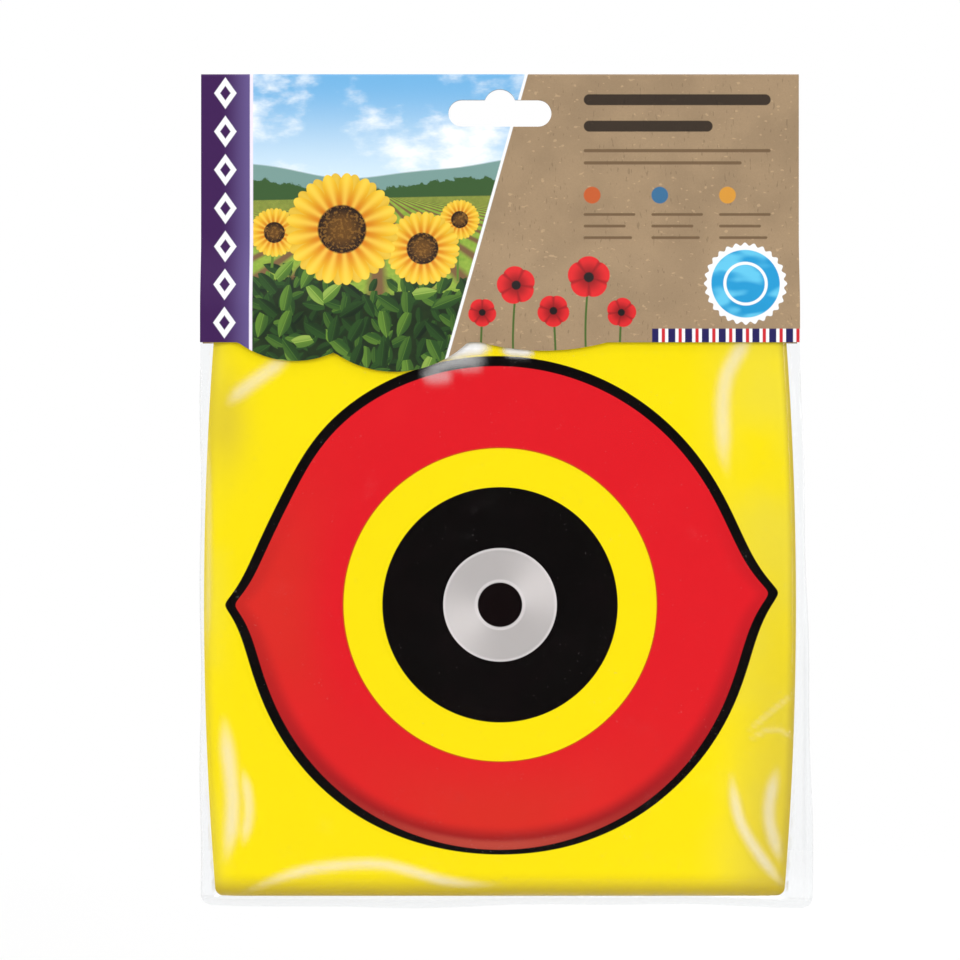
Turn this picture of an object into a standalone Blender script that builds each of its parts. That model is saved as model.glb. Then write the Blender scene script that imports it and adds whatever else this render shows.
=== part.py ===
# Bird scare balloon as it hangs in a shop: a deflated six-gore vinyl ball, folded in three, in a clear
# film bag under a folded header card.
# Metres, +Z up. The card's face looks along -Y. The origin is the centre of the hanging slot.
import math

import bmesh
import bpy
from mathutils import Matrix, Vector

# Header card
header_width = 0.1855
header_drop = 0.0834
board = 0.00035
leaf_half_gap = 0.00065
leaf_bend_start_drop = 0.0502
leaf_bend_height = 0.0240
crease_gap = 0.0003

# Three round lobes along the front leaf's die-cut lower edge, placed by shares of the card's width
outer_lobe_share = -0.3423
outer_lobe_half_width = 0.0175
outer_lobe_drop = 0.0058
deep_lobe_share = -0.1752
deep_lobe_half_width = 0.0226
deep_lobe_drop = 0.00914
shallow_lobe_share = 0.0728
shallow_lobe_half_width = 0.0196
shallow_lobe_drop = 0.0026

# Hanging slot through both leaves
slot_drop = 0.0122
slot_span = 0.0320
slot_height = 0.0083
slot_hump_radius = 0.00495
slot_hump_rise = 0.0033

# Ball, before it is folded
ball_diameter = 0.350
gore_count = 6
skin = 0.0002
cap_radius = 0.0200
cap_lap = 0.0050
side_sag = 0.0034
tip_width = 0.0160
foil = 0.0001
foil_radius = 0.0176

# Folded packet
sheet_gap = 0.00025
foil_gap = 0.00015
packet_tuck = 0.0112
eye_drop = 0.0019
tip_clearance = 0.0041
fold_corner = 0.0030

# Clear bag
film = 0.0001
mouth_drop = 0.0049
mouth_half_gap = 0.00012
bag_side_margin = 0.0011
bag_right_flare = 0.0044
bag_mouth_inset = 0.0012
bottom_seal = 0.0026
bag_corner = 0.0030
film_gap = 0.0003

# Adhesive between the bag and the leaves
adhesive = 0.00014
tape_inset = 0.0128
tape_height = 0.0120
tape_drop = 0.0330
dot_radius = 0.0055
dot_inset = 0.0308
dot_drop = 0.0330

# Hanging tab at the ball's top pole
tab_thickness = 0.0006
tab_width = 0.0180
tab_length = 0.0280
tab_hole_radius = 0.0040

# Air valve, on the outside of the tail that is folded up last
valve_rise = 0.1074
flange_radius = 0.0120
flange_thickness = 0.0006
stem_radius = 0.0028
bore_radius = 0.0018
stem_bend = 0.0038
stem_straight = 0.0034
flap_thickness = 0.0003
peg_radius = 0.0010
peg_head_radius = 0.0017
peg_head_height = 0.0006
peg_reach = 0.0070
peg_setback = 0.0020
fit_gap = 0.0003

# Stopper, with its strap and the eye that turns on the peg
plug_length = 0.0035
plug_root_radius = 0.0014
plug_tip_radius = 0.0010
stopper_head_radius = 0.0034
stopper_head_thickness = 0.0016
stopper_waist_radius = 0.0023
strap_width = 0.0014
strap_thickness = 0.0012
strap_eye_wall = 0.0011

# Space that the bag leaves round the valve
pocket_radius = 0.0135
pocket_skirt = 0.0135

# Cuts run past the material by this much
overrun = 0.0020

round_sides = 32
arc_steps = 8
tail_steps = 10
run_steps = 8
bend_steps = 10
lobe_steps = 14

# Each lobe of the front leaf's lower edge: its place along the card, its half width and its drop
lobes = (
    (outer_lobe_share * header_width, outer_lobe_half_width, outer_lobe_drop),
    (deep_lobe_share * header_width, deep_lobe_half_width, deep_lobe_drop),
    (shallow_lobe_share * header_width, shallow_lobe_half_width, shallow_lobe_drop),
)
deepest_drop = max(drop for place, half_width, drop in lobes)

# Levels, from the crease down
crease_z = slot_drop
header_bottom_z = crease_z - header_drop
packet_top_z = header_bottom_z + packet_tuck
mouth_z = -slot_height / 2 - mouth_drop
bend_top_z = crease_z - leaf_bend_start_drop
bend_bottom_z = bend_top_z - leaf_bend_height

# Gore, flat
gore_width = math.pi * ball_diameter / gore_count
gore_half_length = math.pi * ball_diameter / 4 - (cap_radius - cap_lap)

# Stack of the six gores, front to back: 1, 2, 3, 6, 5, 4. The printed faces of 2 and 3 look at each other,
# and so do those of 6 and 5, so these two gaps hold a foil disc on each side.
stack_order = (1, 2, 3, 6, 5, 4)
foil_pair_gap = 3 * foil_gap + 2 * foil
gap_after = {1: sheet_gap, 2: foil_pair_gap, 3: sheet_gap, 6: foil_pair_gap, 5: sheet_gap}
stack_depth = gore_count * skin + sum(gap_after.values())
fold_gap = 2 * sheet_gap + skin
packet_depth = 3 * stack_depth + 2 * fold_gap
packet_front_y = -packet_depth / 2
packet_back_y = packet_depth / 2
upper_fold_y = packet_front_y + stack_depth + fold_gap / 2
upper_fold_radius = upper_fold_y - packet_front_y
lower_fold_radius = packet_depth / 2
inner_upper_radius = (fold_gap + skin) / 2

# The front run is as long as lets the tail that is folded in first end just above the lower fold
run_length = (gore_half_length - eye_drop - math.pi * inner_upper_radius + tip_clearance) / 1.5
upper_axis_z = packet_top_z - upper_fold_radius
lower_axis_z = upper_axis_z - run_length
eye_z = (upper_axis_z + lower_axis_z) / 2 - eye_drop
packet_bottom_z = lower_axis_z - lower_fold_radius
fold_half_width = gore_width / 2 - side_sag

# Bag
bag_front_y = packet_front_y - 2 * foil_gap - foil
tab_front_y = packet_back_y + 2 * sheet_gap + skin
bag_back_y = tab_front_y + tab_thickness + film_gap
seal_top_z = packet_bottom_z - film_gap - film
bag_bottom_z = seal_top_z - bottom_seal
bag_half_width = gore_width / 2 + bag_side_margin
leaf_lift = leaf_half_gap - mouth_half_gap - film

# Valve
valve_z = lower_axis_z + valve_rise
flange_y = packet_back_y + fit_gap
stem_y = flange_y + flange_thickness + stem_bend
mouth_x = stem_bend + stem_straight
peg_x = mouth_x - peg_setback
peg_z = valve_z - peg_reach
stopper_x = mouth_x + fit_gap
pocket_x = peg_x - fit_gap
pocket_z = peg_z
pocket_y = stem_y + stopper_head_radius + film_gap

yellow = (0.97, 0.80, 0.01, 1)
silver = (0.62, 0.60, 0.59, 1)
kraft = (0.53, 0.35, 0.19, 1)
clear = (0.90, 0.93, 0.95, 1)
tape_clear = (0.85, 0.82, 0.70, 1)
valve_white = (0.82, 0.82, 0.78, 1)


def clear_scene():
    for item in list(bpy.data.objects):
        bpy.data.objects.remove(item, do_unlink=True)


def make_material(name, colour, roughness, metallic=0.0):
    material = bpy.data.materials.new(name)
    material.use_nodes = True
    shader = material.node_tree.nodes["Principled BSDF"]
    shader.inputs["Base Color"].default_value = colour
    shader.inputs["Roughness"].default_value = roughness
    shader.inputs["Metallic"].default_value = metallic
    material.diffuse_color = colour
    return material


def add_object(name, bm, material, origin=Vector()):
    """Makes the object from a mesh in world places, with its own origin."""
    bmesh.ops.recalc_face_normals(bm, faces=bm.faces)
    mesh = bpy.data.meshes.new(name)
    bm.to_mesh(mesh)
    bm.free()
    mesh.transform(Matrix.Translation(-origin))
    mesh.shade_smooth()
    mesh.set_sharp_from_angle(angle=math.radians(35))
    mesh.materials.append(material)
    item = bpy.data.objects.new(name, mesh)
    item.location = origin
    bpy.context.collection.objects.link(item)
    return item


def add_tool(name, bm):
    """A solid that only shapes others."""
    tool = add_object(name, bm, bpy.data.materials["guide"])
    tool.hide_render = True
    tool.display_type = "WIRE"
    return tool


def shape_with(item, tool, operation):
    boolean = item.modifiers.new(operation.title() + " " + tool.name, "BOOLEAN")
    boolean.operation = operation
    boolean.solver = "EXACT"
    boolean.object = tool


def arc(centre, radius, start, end, steps):
    """Points on an arc in the plane of the two given coordinates, angles in degrees."""
    points = []
    for step in range(steps + 1):
        angle = math.radians(start + (end - start) * step / steps)
        points.append((centre[0] + radius * math.cos(angle), centre[1] + radius * math.sin(angle)))
    return points


def smooth_share(share):
    share = min(max(share, 0.0), 1.0)
    return share * share * (3 - 2 * share)


def spread(start, end, steps):
    return [start + (end - start) * step / steps for step in range(steps + 1)]


def loft(rings, cap_start=True, cap_end=True):
    """Skins a list of closed rings of as many points each."""
    bm = bmesh.new()
    rows = [[bm.verts.new(point) for point in ring] for ring in rings]
    count = len(rows[0])
    for near, far in zip(rows, rows[1:]):
        for index in range(count):
            after = (index + 1) % count
            bm.faces.new((near[index], near[after], far[after], far[index]))
    if cap_start:
        bm.faces.new(rows[0])
    if cap_end:
        bm.faces.new(list(reversed(rows[-1])))
    return bm


def sheet(path, thickness):
    """A bent sheet from stations (y, z, half width) along its middle surface."""
    rings = []
    for before, (y, z, half_width), after in zip(path[:1] + path, path, path[1:] + path[-1:]):
        along = Vector((after[0] - before[0], after[1] - before[1])).normalized()
        side_y = along.y * thickness / 2
        side_z = -along.x * thickness / 2
        rings.append([
            (-half_width, y + side_y, z + side_z),
            (half_width, y + side_y, z + side_z),
            (half_width, y - side_y, z - side_z),
            (-half_width, y - side_y, z - side_z),
        ])
    return loft(rings)


def plate(outline, front_y, back_y):
    """A flat plate from an outline of (x, z) points."""
    return loft([[(x, front_y, z) for x, z in outline], [(x, back_y, z) for x, z in outline]])


def disc(x, z, radius, front_y, back_y):
    return plate(arc((x, z), radius, 0, 360 - 360 / round_sides, round_sides - 1), front_y, back_y)


def turned_on_x(profile, y, z):
    """Turns (x, radius) points about a line along X."""
    rings = []
    for x, radius in profile:
        ring = arc((y, z), radius, 0, 360 - 360 / round_sides, round_sides - 1)
        rings.append([(x, ring_y, ring_z) for ring_y, ring_z in ring])
    return loft(rings)


def bend_level(near_y, far_y, z):
    """How far off the middle plane a leaf or a film stands, from the flat top to the packet."""
    return near_y + (far_y - near_y) * smooth_share((bend_top_z - z) / leaf_bend_height)


def leaf_path(side, top_z, bottom_z, far_y):
    """Stations of a leaf, down its flat top, its bend and its straight foot."""
    middle = leaf_half_gap + board / 2
    heights = [top_z] + spread(bend_top_z, bend_bottom_z, bend_steps) + [bottom_z]
    return [(side * bend_level(middle, far_y, z), z, header_width / 2) for z in heights]


def slot_outline():
    """Round-ended slot with a round hump in the middle of its upper side."""
    end_radius = slot_height / 2
    end_x = slot_span / 2 - end_radius
    hump_z = end_radius + slot_hump_rise - slot_hump_radius
    foot = math.degrees(math.asin((end_radius - hump_z) / slot_hump_radius))
    right = arc((end_x, 0), end_radius, -90, 90, arc_steps)
    hump = arc((0, hump_z), slot_hump_radius, foot, 180 - foot, arc_steps)
    left = arc((-end_x, 0), end_radius, 90, 270, arc_steps)
    return right + hump + left


def slot_cutter():
    reach = leaf_half_gap + board + overrun
    return add_tool("slot_cutter", plate(slot_outline(), -reach, reach))


def lobe_level(x):
    """Level of the front leaf's lower edge: straight, but where a round lobe hangs below it."""
    level = header_bottom_z
    for place, half_width, drop in lobes:
        radius = (half_width ** 2 + drop ** 2) / (2 * drop)
        reach = abs(x - place)
        if reach < half_width:
            level = min(level, header_bottom_z - drop + radius - math.sqrt(radius ** 2 - reach ** 2))
    return level


def lobe_cutter():
    """Everything below the die-cut lower edge of the front leaf."""
    edge_x = header_width / 2 + overrun
    low_z = header_bottom_z - deepest_drop - overrun
    across = {-edge_x, edge_x}
    for place, half_width, drop in lobes:
        across.update(spread(place - half_width, place + half_width, lobe_steps))
    outline = [(x, lobe_level(x)) for x in sorted(across)]
    outline += [(edge_x, low_z), (-edge_x, low_z)]
    front = bag_front_y - film - leaf_lift - board - overrun
    return add_tool("lobe_cutter", plate(outline, front, 0))


def header_back(material, slot):
    """Back leaf, with the rolled crease that its fold leaves."""
    roll = leaf_half_gap + board / 2
    axis_z = crease_z - roll - board / 2
    crest = arc((0, axis_z), roll, 180, 0, arc_steps)
    path = [(y, z, header_width / 2) for y, z in crest]
    far_y = bag_back_y + film + leaf_lift + board / 2
    path += leaf_path(1, axis_z, header_bottom_z, far_y)[1:]
    item = add_object("header_back", sheet(path, board), material)
    shape_with(item, slot, "DIFFERENCE")


def header_front(material, slot, lobe):
    """Front leaf. It lifts about the outer edge of the crease."""
    axis_z = crease_z - leaf_half_gap - board
    far_y = -bag_front_y + film + leaf_lift + board / 2
    path = leaf_path(-1, axis_z - crease_gap, header_bottom_z - deepest_drop - overrun / 2, far_y)
    hinge = Vector((0, -leaf_half_gap - board, axis_z - crease_gap / 2))
    item = add_object("header_front", sheet(path, board), material, hinge)
    shape_with(item, slot, "DIFFERENCE")
    shape_with(item, lobe, "DIFFERENCE")


def adhesive_pieces(material):
    """A tape strip between the bag and the back leaf, and two dots behind the front leaf."""
    room = leaf_half_gap - mouth_half_gap - film
    near = mouth_half_gap + film + (room - adhesive) / 2
    far = near + adhesive
    tape_z = crease_z - tape_drop
    half = header_width / 2 - tape_inset
    low = tape_z - tape_height / 2
    high = tape_z + tape_height / 2
    outline = [(-half, low), (half, low), (half, high), (-half, high)]
    add_object("tape_strip", plate(outline, near, far), material)
    for name, side in (("glue_dot_left", -1), ("glue_dot_right", 1)):
        dot_x = side * (header_width / 2 - dot_inset)
        add_object(name, disc(dot_x, crease_z - dot_drop, dot_radius, -far, -near), material)


def gore_half_width(along):
    """Half the gore's width at a distance along it from the middle of its eye."""
    along = abs(along)
    fold = run_length / 2
    if along < fold:
        return gore_width / 2 - side_sag * (along / fold) ** 2
    share = (along - fold) / (gore_half_length - fold)
    return fold_half_width * math.cos(share * math.pi / 2) + tip_width / 2 * smooth_share(share)


def corner_dip(z, fold_z):
    """How much the rounded corner at a fold takes off the half width."""
    share = 1 - min(abs(z - fold_z) / fold_corner, 1)
    return fold_corner * (1 - math.sqrt(1 - share * share))


def tail_end(layer_y, fold_y, start):
    """Length of a tail past its fold, when the fold begins this far from the eye."""
    return gore_half_length - start - math.pi * (fold_y - layer_y)


def gore_path(layer_y):
    """Stations of one folded gore, from the tip of its upper tail to the tip of its lower tail."""
    upper_radius = upper_fold_y - layer_y
    lower_radius = -layer_y
    upper_start = upper_axis_z - eye_z
    lower_start = eye_z - lower_axis_z
    upper_tail = tail_end(layer_y, upper_fold_y, upper_start)
    lower_tail = tail_end(layer_y, 0, lower_start)
    places = []
    for reach in spread(upper_tail, 0, tail_steps):
        along = upper_start + math.pi * upper_radius + reach
        places.append((upper_fold_y + upper_radius, upper_axis_z - reach, along))
    for angle, point in enumerate(arc((upper_fold_y, upper_axis_z), upper_radius, 0, 180, arc_steps)):
        if 0 < angle < arc_steps:
            along = upper_start + math.pi * upper_radius * (1 - angle / arc_steps)
            places.append((point[0], point[1], along))
    for reach in spread(upper_start, -lower_start, run_steps):
        places.append((layer_y, eye_z + reach, reach))
    for angle, point in enumerate(arc((0, lower_axis_z), lower_radius, 180, 360, arc_steps)):
        if 0 < angle < arc_steps:
            along = lower_start + math.pi * lower_radius * angle / arc_steps
            places.append((point[0], point[1], along))
    for reach in spread(0, lower_tail, tail_steps):
        along = lower_start + math.pi * lower_radius + reach
        places.append((-layer_y, lower_axis_z + reach, along))
    path = []
    for y, z, along in places:
        dip = max(corner_dip(z, packet_top_z), corner_dip(z, packet_bottom_z))
        path.append((y, z, gore_half_width(along) - dip))
    return path


def layer_places():
    """Middle of each gore's front run, by its number."""
    places = {}
    y = packet_front_y + skin / 2
    for number in stack_order:
        places[number] = y
        y += skin + gap_after.get(number, 0)
    return places


def gores(material, hole):
    for number, layer_y in layer_places().items():
        item = add_object("gore_" + str(number), sheet(gore_path(layer_y), skin), material)
        if number == 1:
            shape_with(item, hole, "DIFFERENCE")


def foil_discs(material):
    """One foil pupil disc on the printed face of each gore."""
    places = layer_places()
    for number in sorted(places):
        side = -1 if number in (1, 3, 5) else 1
        face = places[number] + side * (skin / 2 + foil_gap)
        far = face + side * foil
        name = "foil_disc_" + str(number)
        add_object(name, disc(0, eye_z, foil_radius, min(face, far), max(face, far)), material)


def pole_cap(name, material, middle_y, tip_z, side):
    """A round cap folded in half over the gathered tips of the gores."""
    roll = (stack_depth + fold_gap) / 2
    quarter = roll * math.pi / 2
    path = []
    for angle in spread(-80, 80, 2 * arc_steps + 4):
        along = cap_radius * math.sin(math.radians(angle))
        half_width = cap_radius * math.cos(math.radians(angle))
        if abs(along) < quarter:
            turn = along / roll
            y = middle_y + roll * math.sin(turn)
            z = tip_z - side * roll * math.cos(turn)
        else:
            y = middle_y + math.copysign(roll, along)
            z = tip_z + side * (abs(along) - quarter)
        path.append((y, z, half_width))
    add_object(name, sheet(path, skin), material)


def lower_tip_z():
    """Level of the longest gore's tip in the tail that is folded up last."""
    return lower_axis_z + tail_end(layer_places()[4], 0, eye_z - lower_axis_z)


def pole_caps(material):
    last_y = layer_places()[4]
    upper_tip_z = upper_axis_z - tail_end(last_y, upper_fold_y, upper_axis_z - eye_z)
    pole_cap("pole_cap_base", material, 0, upper_tip_z, 1)
    pole_cap("pole_cap_top", material, stack_depth + fold_gap, lower_tip_z(), -1)


def hang_tab(material):
    """Tab on the top pole's cap, with the hole that the hanging cord goes through."""
    tip_z = lower_tip_z()
    half = tab_width / 2
    low = tip_z - tab_length + half
    outline = arc((0, low), half, 180, 360, 2 * arc_steps) + [(half, tip_z), (-half, tip_z)]
    bm = plate(outline, tab_front_y, tab_front_y + tab_thickness)
    item = add_object("hang_tab", bm, material)
    front = tab_front_y - fit_gap
    hole = add_tool("tab_hole", disc(0, low, tab_hole_radius, front, front + tab_thickness + overrun))
    shape_with(item, hole, "DIFFERENCE")


def bag_half_depth(side_y, z):
    """Depth of the bag on one side of its middle plane, from its mouth to its bottom seal."""
    depth = bend_level(mouth_half_gap, side_y, z)
    if z >= lower_axis_z:
        return depth
    room = lower_axis_z - seal_top_z
    share = min((lower_axis_z - z) / room, 1)
    return mouth_half_gap + (depth - mouth_half_gap) * math.sqrt(1 - share * share)


def widest_tail(z):
    """Half width of the widest tail behind the front run at this level."""
    upper = upper_axis_z - eye_z + math.pi * inner_upper_radius + max(upper_axis_z - z, 0)
    lower = eye_z - lower_axis_z + max(z - lower_axis_z, 0)
    return max(gore_half_width(min(reach, gore_half_length)) for reach in (upper, lower))


def bag_side_x(side, z):
    """Side seam of the bag: straight on the left, flaring to the right, with round lower corners."""
    inset = bag_mouth_inset * smooth_share((z - header_bottom_z) / (mouth_z - header_bottom_z))
    flare = 0
    if side > 0 and z < header_bottom_z:
        flare = bag_right_flare * (header_bottom_z - z) / (header_bottom_z - bag_bottom_z)
    share = 1 - min((z - bag_bottom_z) / bag_corner, 1)
    corner = bag_corner * (1 - math.sqrt(1 - share * share))
    return side * (bag_half_width + flare - inset - corner)


def pocket_level(x, z, back_y):
    """The back film, pushed out round the valve."""
    reach = math.hypot(x - pocket_x, z - pocket_z)
    share = smooth_share((pocket_radius + pocket_skirt - reach) / pocket_skirt)
    return back_y + (pocket_y - back_y) * share


def bag_ring(z):
    """One closed section of the bag's inner face."""
    nip = mouth_half_gap
    front = bag_half_depth(-bag_front_y, z)
    back = bag_half_depth(bag_back_y, z)
    depth_share = (front - nip) / (-bag_front_y - nip)
    seam_y = (packet_front_y + stack_depth / 2) * depth_share
    step_y = nip + (packet_front_y + stack_depth + film_gap - nip) * depth_share
    left_x = bag_side_x(-1, z)
    right_x = bag_side_x(1, z)
    corner_x = min(gore_half_width(z - eye_z) + film_gap, right_x - 2 * film_gap, -left_x - 2 * film_gap)
    step_x = corner_x + film_gap
    tail_x = min(widest_tail(z) + film_gap, corner_x)
    skirt = [pocket_radius + pocket_skirt, pocket_radius + pocket_skirt / 2, pocket_radius, pocket_radius / 2]
    pocket_xs = [pocket_x + reach for reach in skirt] + [pocket_x]
    pocket_xs += [pocket_x - reach for reach in reversed(skirt)]
    ring = [(left_x, seam_y - nip, z), (-corner_x, -front, z), (corner_x, -front, z)]
    ring += [(right_x, seam_y - nip, z), (right_x, seam_y + nip, z), (step_x, step_y, z)]
    ring += [(tail_x, back, z)]
    ring += [(x, pocket_level(x, z, back), z) for x in pocket_xs]
    ring += [(-tail_x, back, z), (-step_x, step_y, z), (left_x, seam_y + nip, z)]
    return ring


def bag(material):
    """One film cup, sealed at its sides and bottom and open between the leaves."""
    reach = pocket_radius + pocket_skirt
    heights = [mouth_z] + spread(bend_top_z, bend_bottom_z, bend_steps)
    heights += spread(bend_bottom_z, pocket_z + reach, 3)[1:]
    heights += spread(pocket_z + reach, pocket_z - reach, 8)[1:]
    heights += spread(pocket_z - reach, lower_axis_z, 4)[1:]
    room = lower_axis_z - seal_top_z
    heights += [lower_axis_z - room * math.sin(math.radians(angle)) for angle in spread(15, 90, 5)]
    heights += spread(seal_top_z, bag_bottom_z + film, 3)[1:]
    item = add_object("bag", loft([bag_ring(z) for z in heights], cap_start=False), material)
    wall = item.modifiers.new("Film", "SOLIDIFY")
    wall.thickness = film
    wall.offset = 1
    wall.use_even_offset = True


def stem_rings(radius, start_y, end_x):
    """Round sections along the valve's stem, which rises from the flange and bends over to +X."""
    rings = [[(x, start_y, z) for x, z in stem_circle(radius)]]
    middle = (stem_bend, stem_y - stem_bend)
    for angle in spread(180, 90, arc_steps):
        turn = math.radians(angle)
        ring = []
        for x, z in stem_circle(radius):
            reach = stem_bend - x
            ring.append((middle[0] + reach * math.cos(turn), middle[1] + reach * math.sin(turn), z))
        rings.append(ring)
    rings.append([(end_x, stem_y - x, z) for x, z in stem_circle(radius)])
    return rings


def stem_circle(radius):
    return arc((0, valve_z), radius, 0, 360 - 360 / round_sides, round_sides - 1)


def valve_body(material):
    """Flange, bent stem with its bore and a lip at the mouth, and the peg that holds the strap."""
    top_y = flange_y + flange_thickness
    item = add_object("valve_body", disc(0, valve_z, flange_radius, flange_y, top_y), material)
    root_y = flange_y + flange_thickness / 2
    stem = add_tool("valve_stem", loft(stem_rings(stem_radius, root_y, mouth_x)))
    peg_top_y = stem_y + strap_thickness / 2 + fit_gap + peg_head_height
    peg = add_tool("valve_peg", disc(peg_x, peg_z, peg_radius, root_y, peg_top_y))
    head_y = peg_top_y - peg_head_height
    head = add_tool("valve_peg_head", disc(peg_x, peg_z, peg_head_radius, head_y, peg_top_y))
    foot_y = stem_y - strap_thickness / 2 - fit_gap
    foot = add_tool("valve_peg_foot", disc(peg_x, peg_z, peg_head_radius, root_y, foot_y))
    for tool in (stem, peg, head, foot):
        shape_with(item, tool, "UNION")
    bore = add_tool("valve_bore", loft(stem_rings(bore_radius, flange_y - overrun, mouth_x + overrun)))
    shape_with(item, bore, "DIFFERENCE")


def valve_flap(material):
    """Check flap at the foot of the bore, which lets air in only."""
    radius = bore_radius - fit_gap
    add_object("valve_flap", disc(0, valve_z, radius, flange_y, flange_y + flap_thickness), material)


def valve_stopper(material):
    """Tapered plug with a gripping head, on a strap whose eye turns about the peg."""
    head_end = stopper_x + stopper_head_thickness
    waist = stopper_x + stopper_head_thickness / 2
    profile = [
        (stopper_x - plug_length, plug_tip_radius),
        (stopper_x, plug_root_radius),
        (stopper_x, stopper_head_radius),
        (stopper_x + stopper_head_thickness / 4, stopper_head_radius),
        (waist, stopper_waist_radius),
        (head_end - stopper_head_thickness / 4, stopper_head_radius),
        (head_end, stopper_head_radius),
    ]
    hinge = Vector((peg_x, stem_y, peg_z))
    item = add_object("valve_stopper", turned_on_x(profile, stem_y, valve_z), material, hinge)
    low_y = stem_y - strap_thickness / 2
    high_y = stem_y + strap_thickness / 2
    eye_radius_out = peg_radius + fit_gap + strap_eye_wall
    eye = add_tool("strap_eye", disc(peg_x, peg_z, eye_radius_out, low_y, high_y))
    start = Vector((peg_x + eye_radius_out / 2, peg_z + eye_radius_out / 2))
    end = Vector((waist + stopper_head_thickness / 4, valve_z - stopper_waist_radius))
    along = (end - start).normalized()
    side = Vector((-along.y, along.x)) * strap_width / 2
    strap_outline = [start - side, end - side, end + side, start + side]
    strap = add_tool("strap", plate([tuple(point) for point in strap_outline], low_y, high_y))
    hole = add_tool("strap_hole", disc(peg_x, peg_z, peg_radius + fit_gap, low_y - overrun, high_y + overrun))
    shape_with(item, strap, "UNION")
    shape_with(item, eye, "UNION")
    shape_with(item, hole, "DIFFERENCE")


def main():
    clear_scene()
    make_material("guide", clear, 0.5)
    card = make_material("kraft_card", kraft, 0.75)
    film_clear = make_material("clear_film", clear, 0.08)
    sticky = make_material("adhesive_film", tape_clear, 0.35)
    vinyl = make_material("yellow_vinyl", yellow, 0.32)
    reflective = make_material("reflective_foil", silver, 0.22, 1.0)
    soft_white = make_material("soft_valve_vinyl", valve_white, 0.4)
    slot = slot_cutter()
    header_back(card, slot)
    header_front(card, slot, lobe_cutter())
    adhesive_pieces(sticky)
    inner_y = packet_back_y - skin - sheet_gap / 2
    outer_y = packet_back_y + fit_gap + overrun
    hole = disc(0, valve_z, bore_radius + fit_gap, inner_y, outer_y)
    gores(vinyl, add_tool("valve_hole", hole))
    foil_discs(reflective)
    pole_caps(vinyl)
    hang_tab(soft_white)
    bag(film_clear)
    valve_body(soft_white)
    valve_flap(soft_white)
    valve_stopper(soft_white)


main()
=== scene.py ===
"""Folded bird scare balloon in its hanging bag: the finished look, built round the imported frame.

Metres, +Z up, the card's face towards -Y, the centre of the hanging slot at the origin.
"""

import math

import bmesh
import bpy
import numpy as np
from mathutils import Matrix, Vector, noise


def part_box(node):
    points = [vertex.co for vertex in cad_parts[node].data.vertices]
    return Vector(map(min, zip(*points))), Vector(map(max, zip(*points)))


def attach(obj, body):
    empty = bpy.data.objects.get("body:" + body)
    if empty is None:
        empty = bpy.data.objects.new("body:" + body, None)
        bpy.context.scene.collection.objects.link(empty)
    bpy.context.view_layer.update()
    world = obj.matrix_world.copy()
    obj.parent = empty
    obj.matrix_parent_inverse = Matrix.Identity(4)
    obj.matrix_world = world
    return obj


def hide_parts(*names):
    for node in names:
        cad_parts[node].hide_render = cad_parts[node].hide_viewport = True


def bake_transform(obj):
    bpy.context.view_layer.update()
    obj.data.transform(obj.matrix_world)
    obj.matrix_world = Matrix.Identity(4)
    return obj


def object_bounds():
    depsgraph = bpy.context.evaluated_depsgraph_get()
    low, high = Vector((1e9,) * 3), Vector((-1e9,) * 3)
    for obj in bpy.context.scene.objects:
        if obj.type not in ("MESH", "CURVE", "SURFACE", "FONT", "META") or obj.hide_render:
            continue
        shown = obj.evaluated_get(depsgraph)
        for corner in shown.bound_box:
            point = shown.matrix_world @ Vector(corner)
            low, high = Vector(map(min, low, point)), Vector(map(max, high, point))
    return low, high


bl_info = {
    "name": "Folded Scare Balloon",
    "version": (1, 0, 0),
    "blender": (4, 5, 0),
    "location": "3D View > Sidebar > Balloon",
    "description": "Builds the balloon, its bag, its card and the studio round the packed frame",
    "category": "Object",
}

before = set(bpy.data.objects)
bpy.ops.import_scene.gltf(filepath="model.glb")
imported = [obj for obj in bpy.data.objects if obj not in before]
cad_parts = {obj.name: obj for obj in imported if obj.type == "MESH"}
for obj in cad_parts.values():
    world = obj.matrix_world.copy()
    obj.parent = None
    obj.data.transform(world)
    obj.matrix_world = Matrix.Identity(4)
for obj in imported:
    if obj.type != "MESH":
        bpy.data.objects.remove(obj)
frame_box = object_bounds()

mm = 0.001


def tone(red, green, blue):
    """A screen colour, 0 to 255, as the linear colour that a shader takes."""
    shares = [value / 255 for value in (red, green, blue)]
    return tuple(s / 12.92 if s <= 0.04045 else ((s + 0.055) / 1.055) ** 2.4 for s in shares)


# Card, as the frame has it
card_half_width = 92.75 * mm
board = 0.35 * mm
leaf_half_gap = 0.65 * mm
crease_z = 12.2 * mm
card_foot_z = -71.2 * mm
bend_top_z = -38.0 * mm
bend_bottom_z = -62.0 * mm
crease_gap = 0.3 * mm
card_lobes = ((-63.5 * mm, 17.5 * mm, 5.8 * mm), (-32.5 * mm, 22.6 * mm, 9.14 * mm),
              (13.5 * mm, 19.6 * mm, 2.6 * mm))
roll_axis_z = crease_z - leaf_half_gap - board
front_foot_y = -6.68 * mm
back_foot_y = 7.88 * mm

# Hanging slot
slot_half_span = 16.0 * mm
slot_half_height = 4.15 * mm
slot_hump_radius = 4.95 * mm
slot_hump_z = 2.5 * mm

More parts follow.
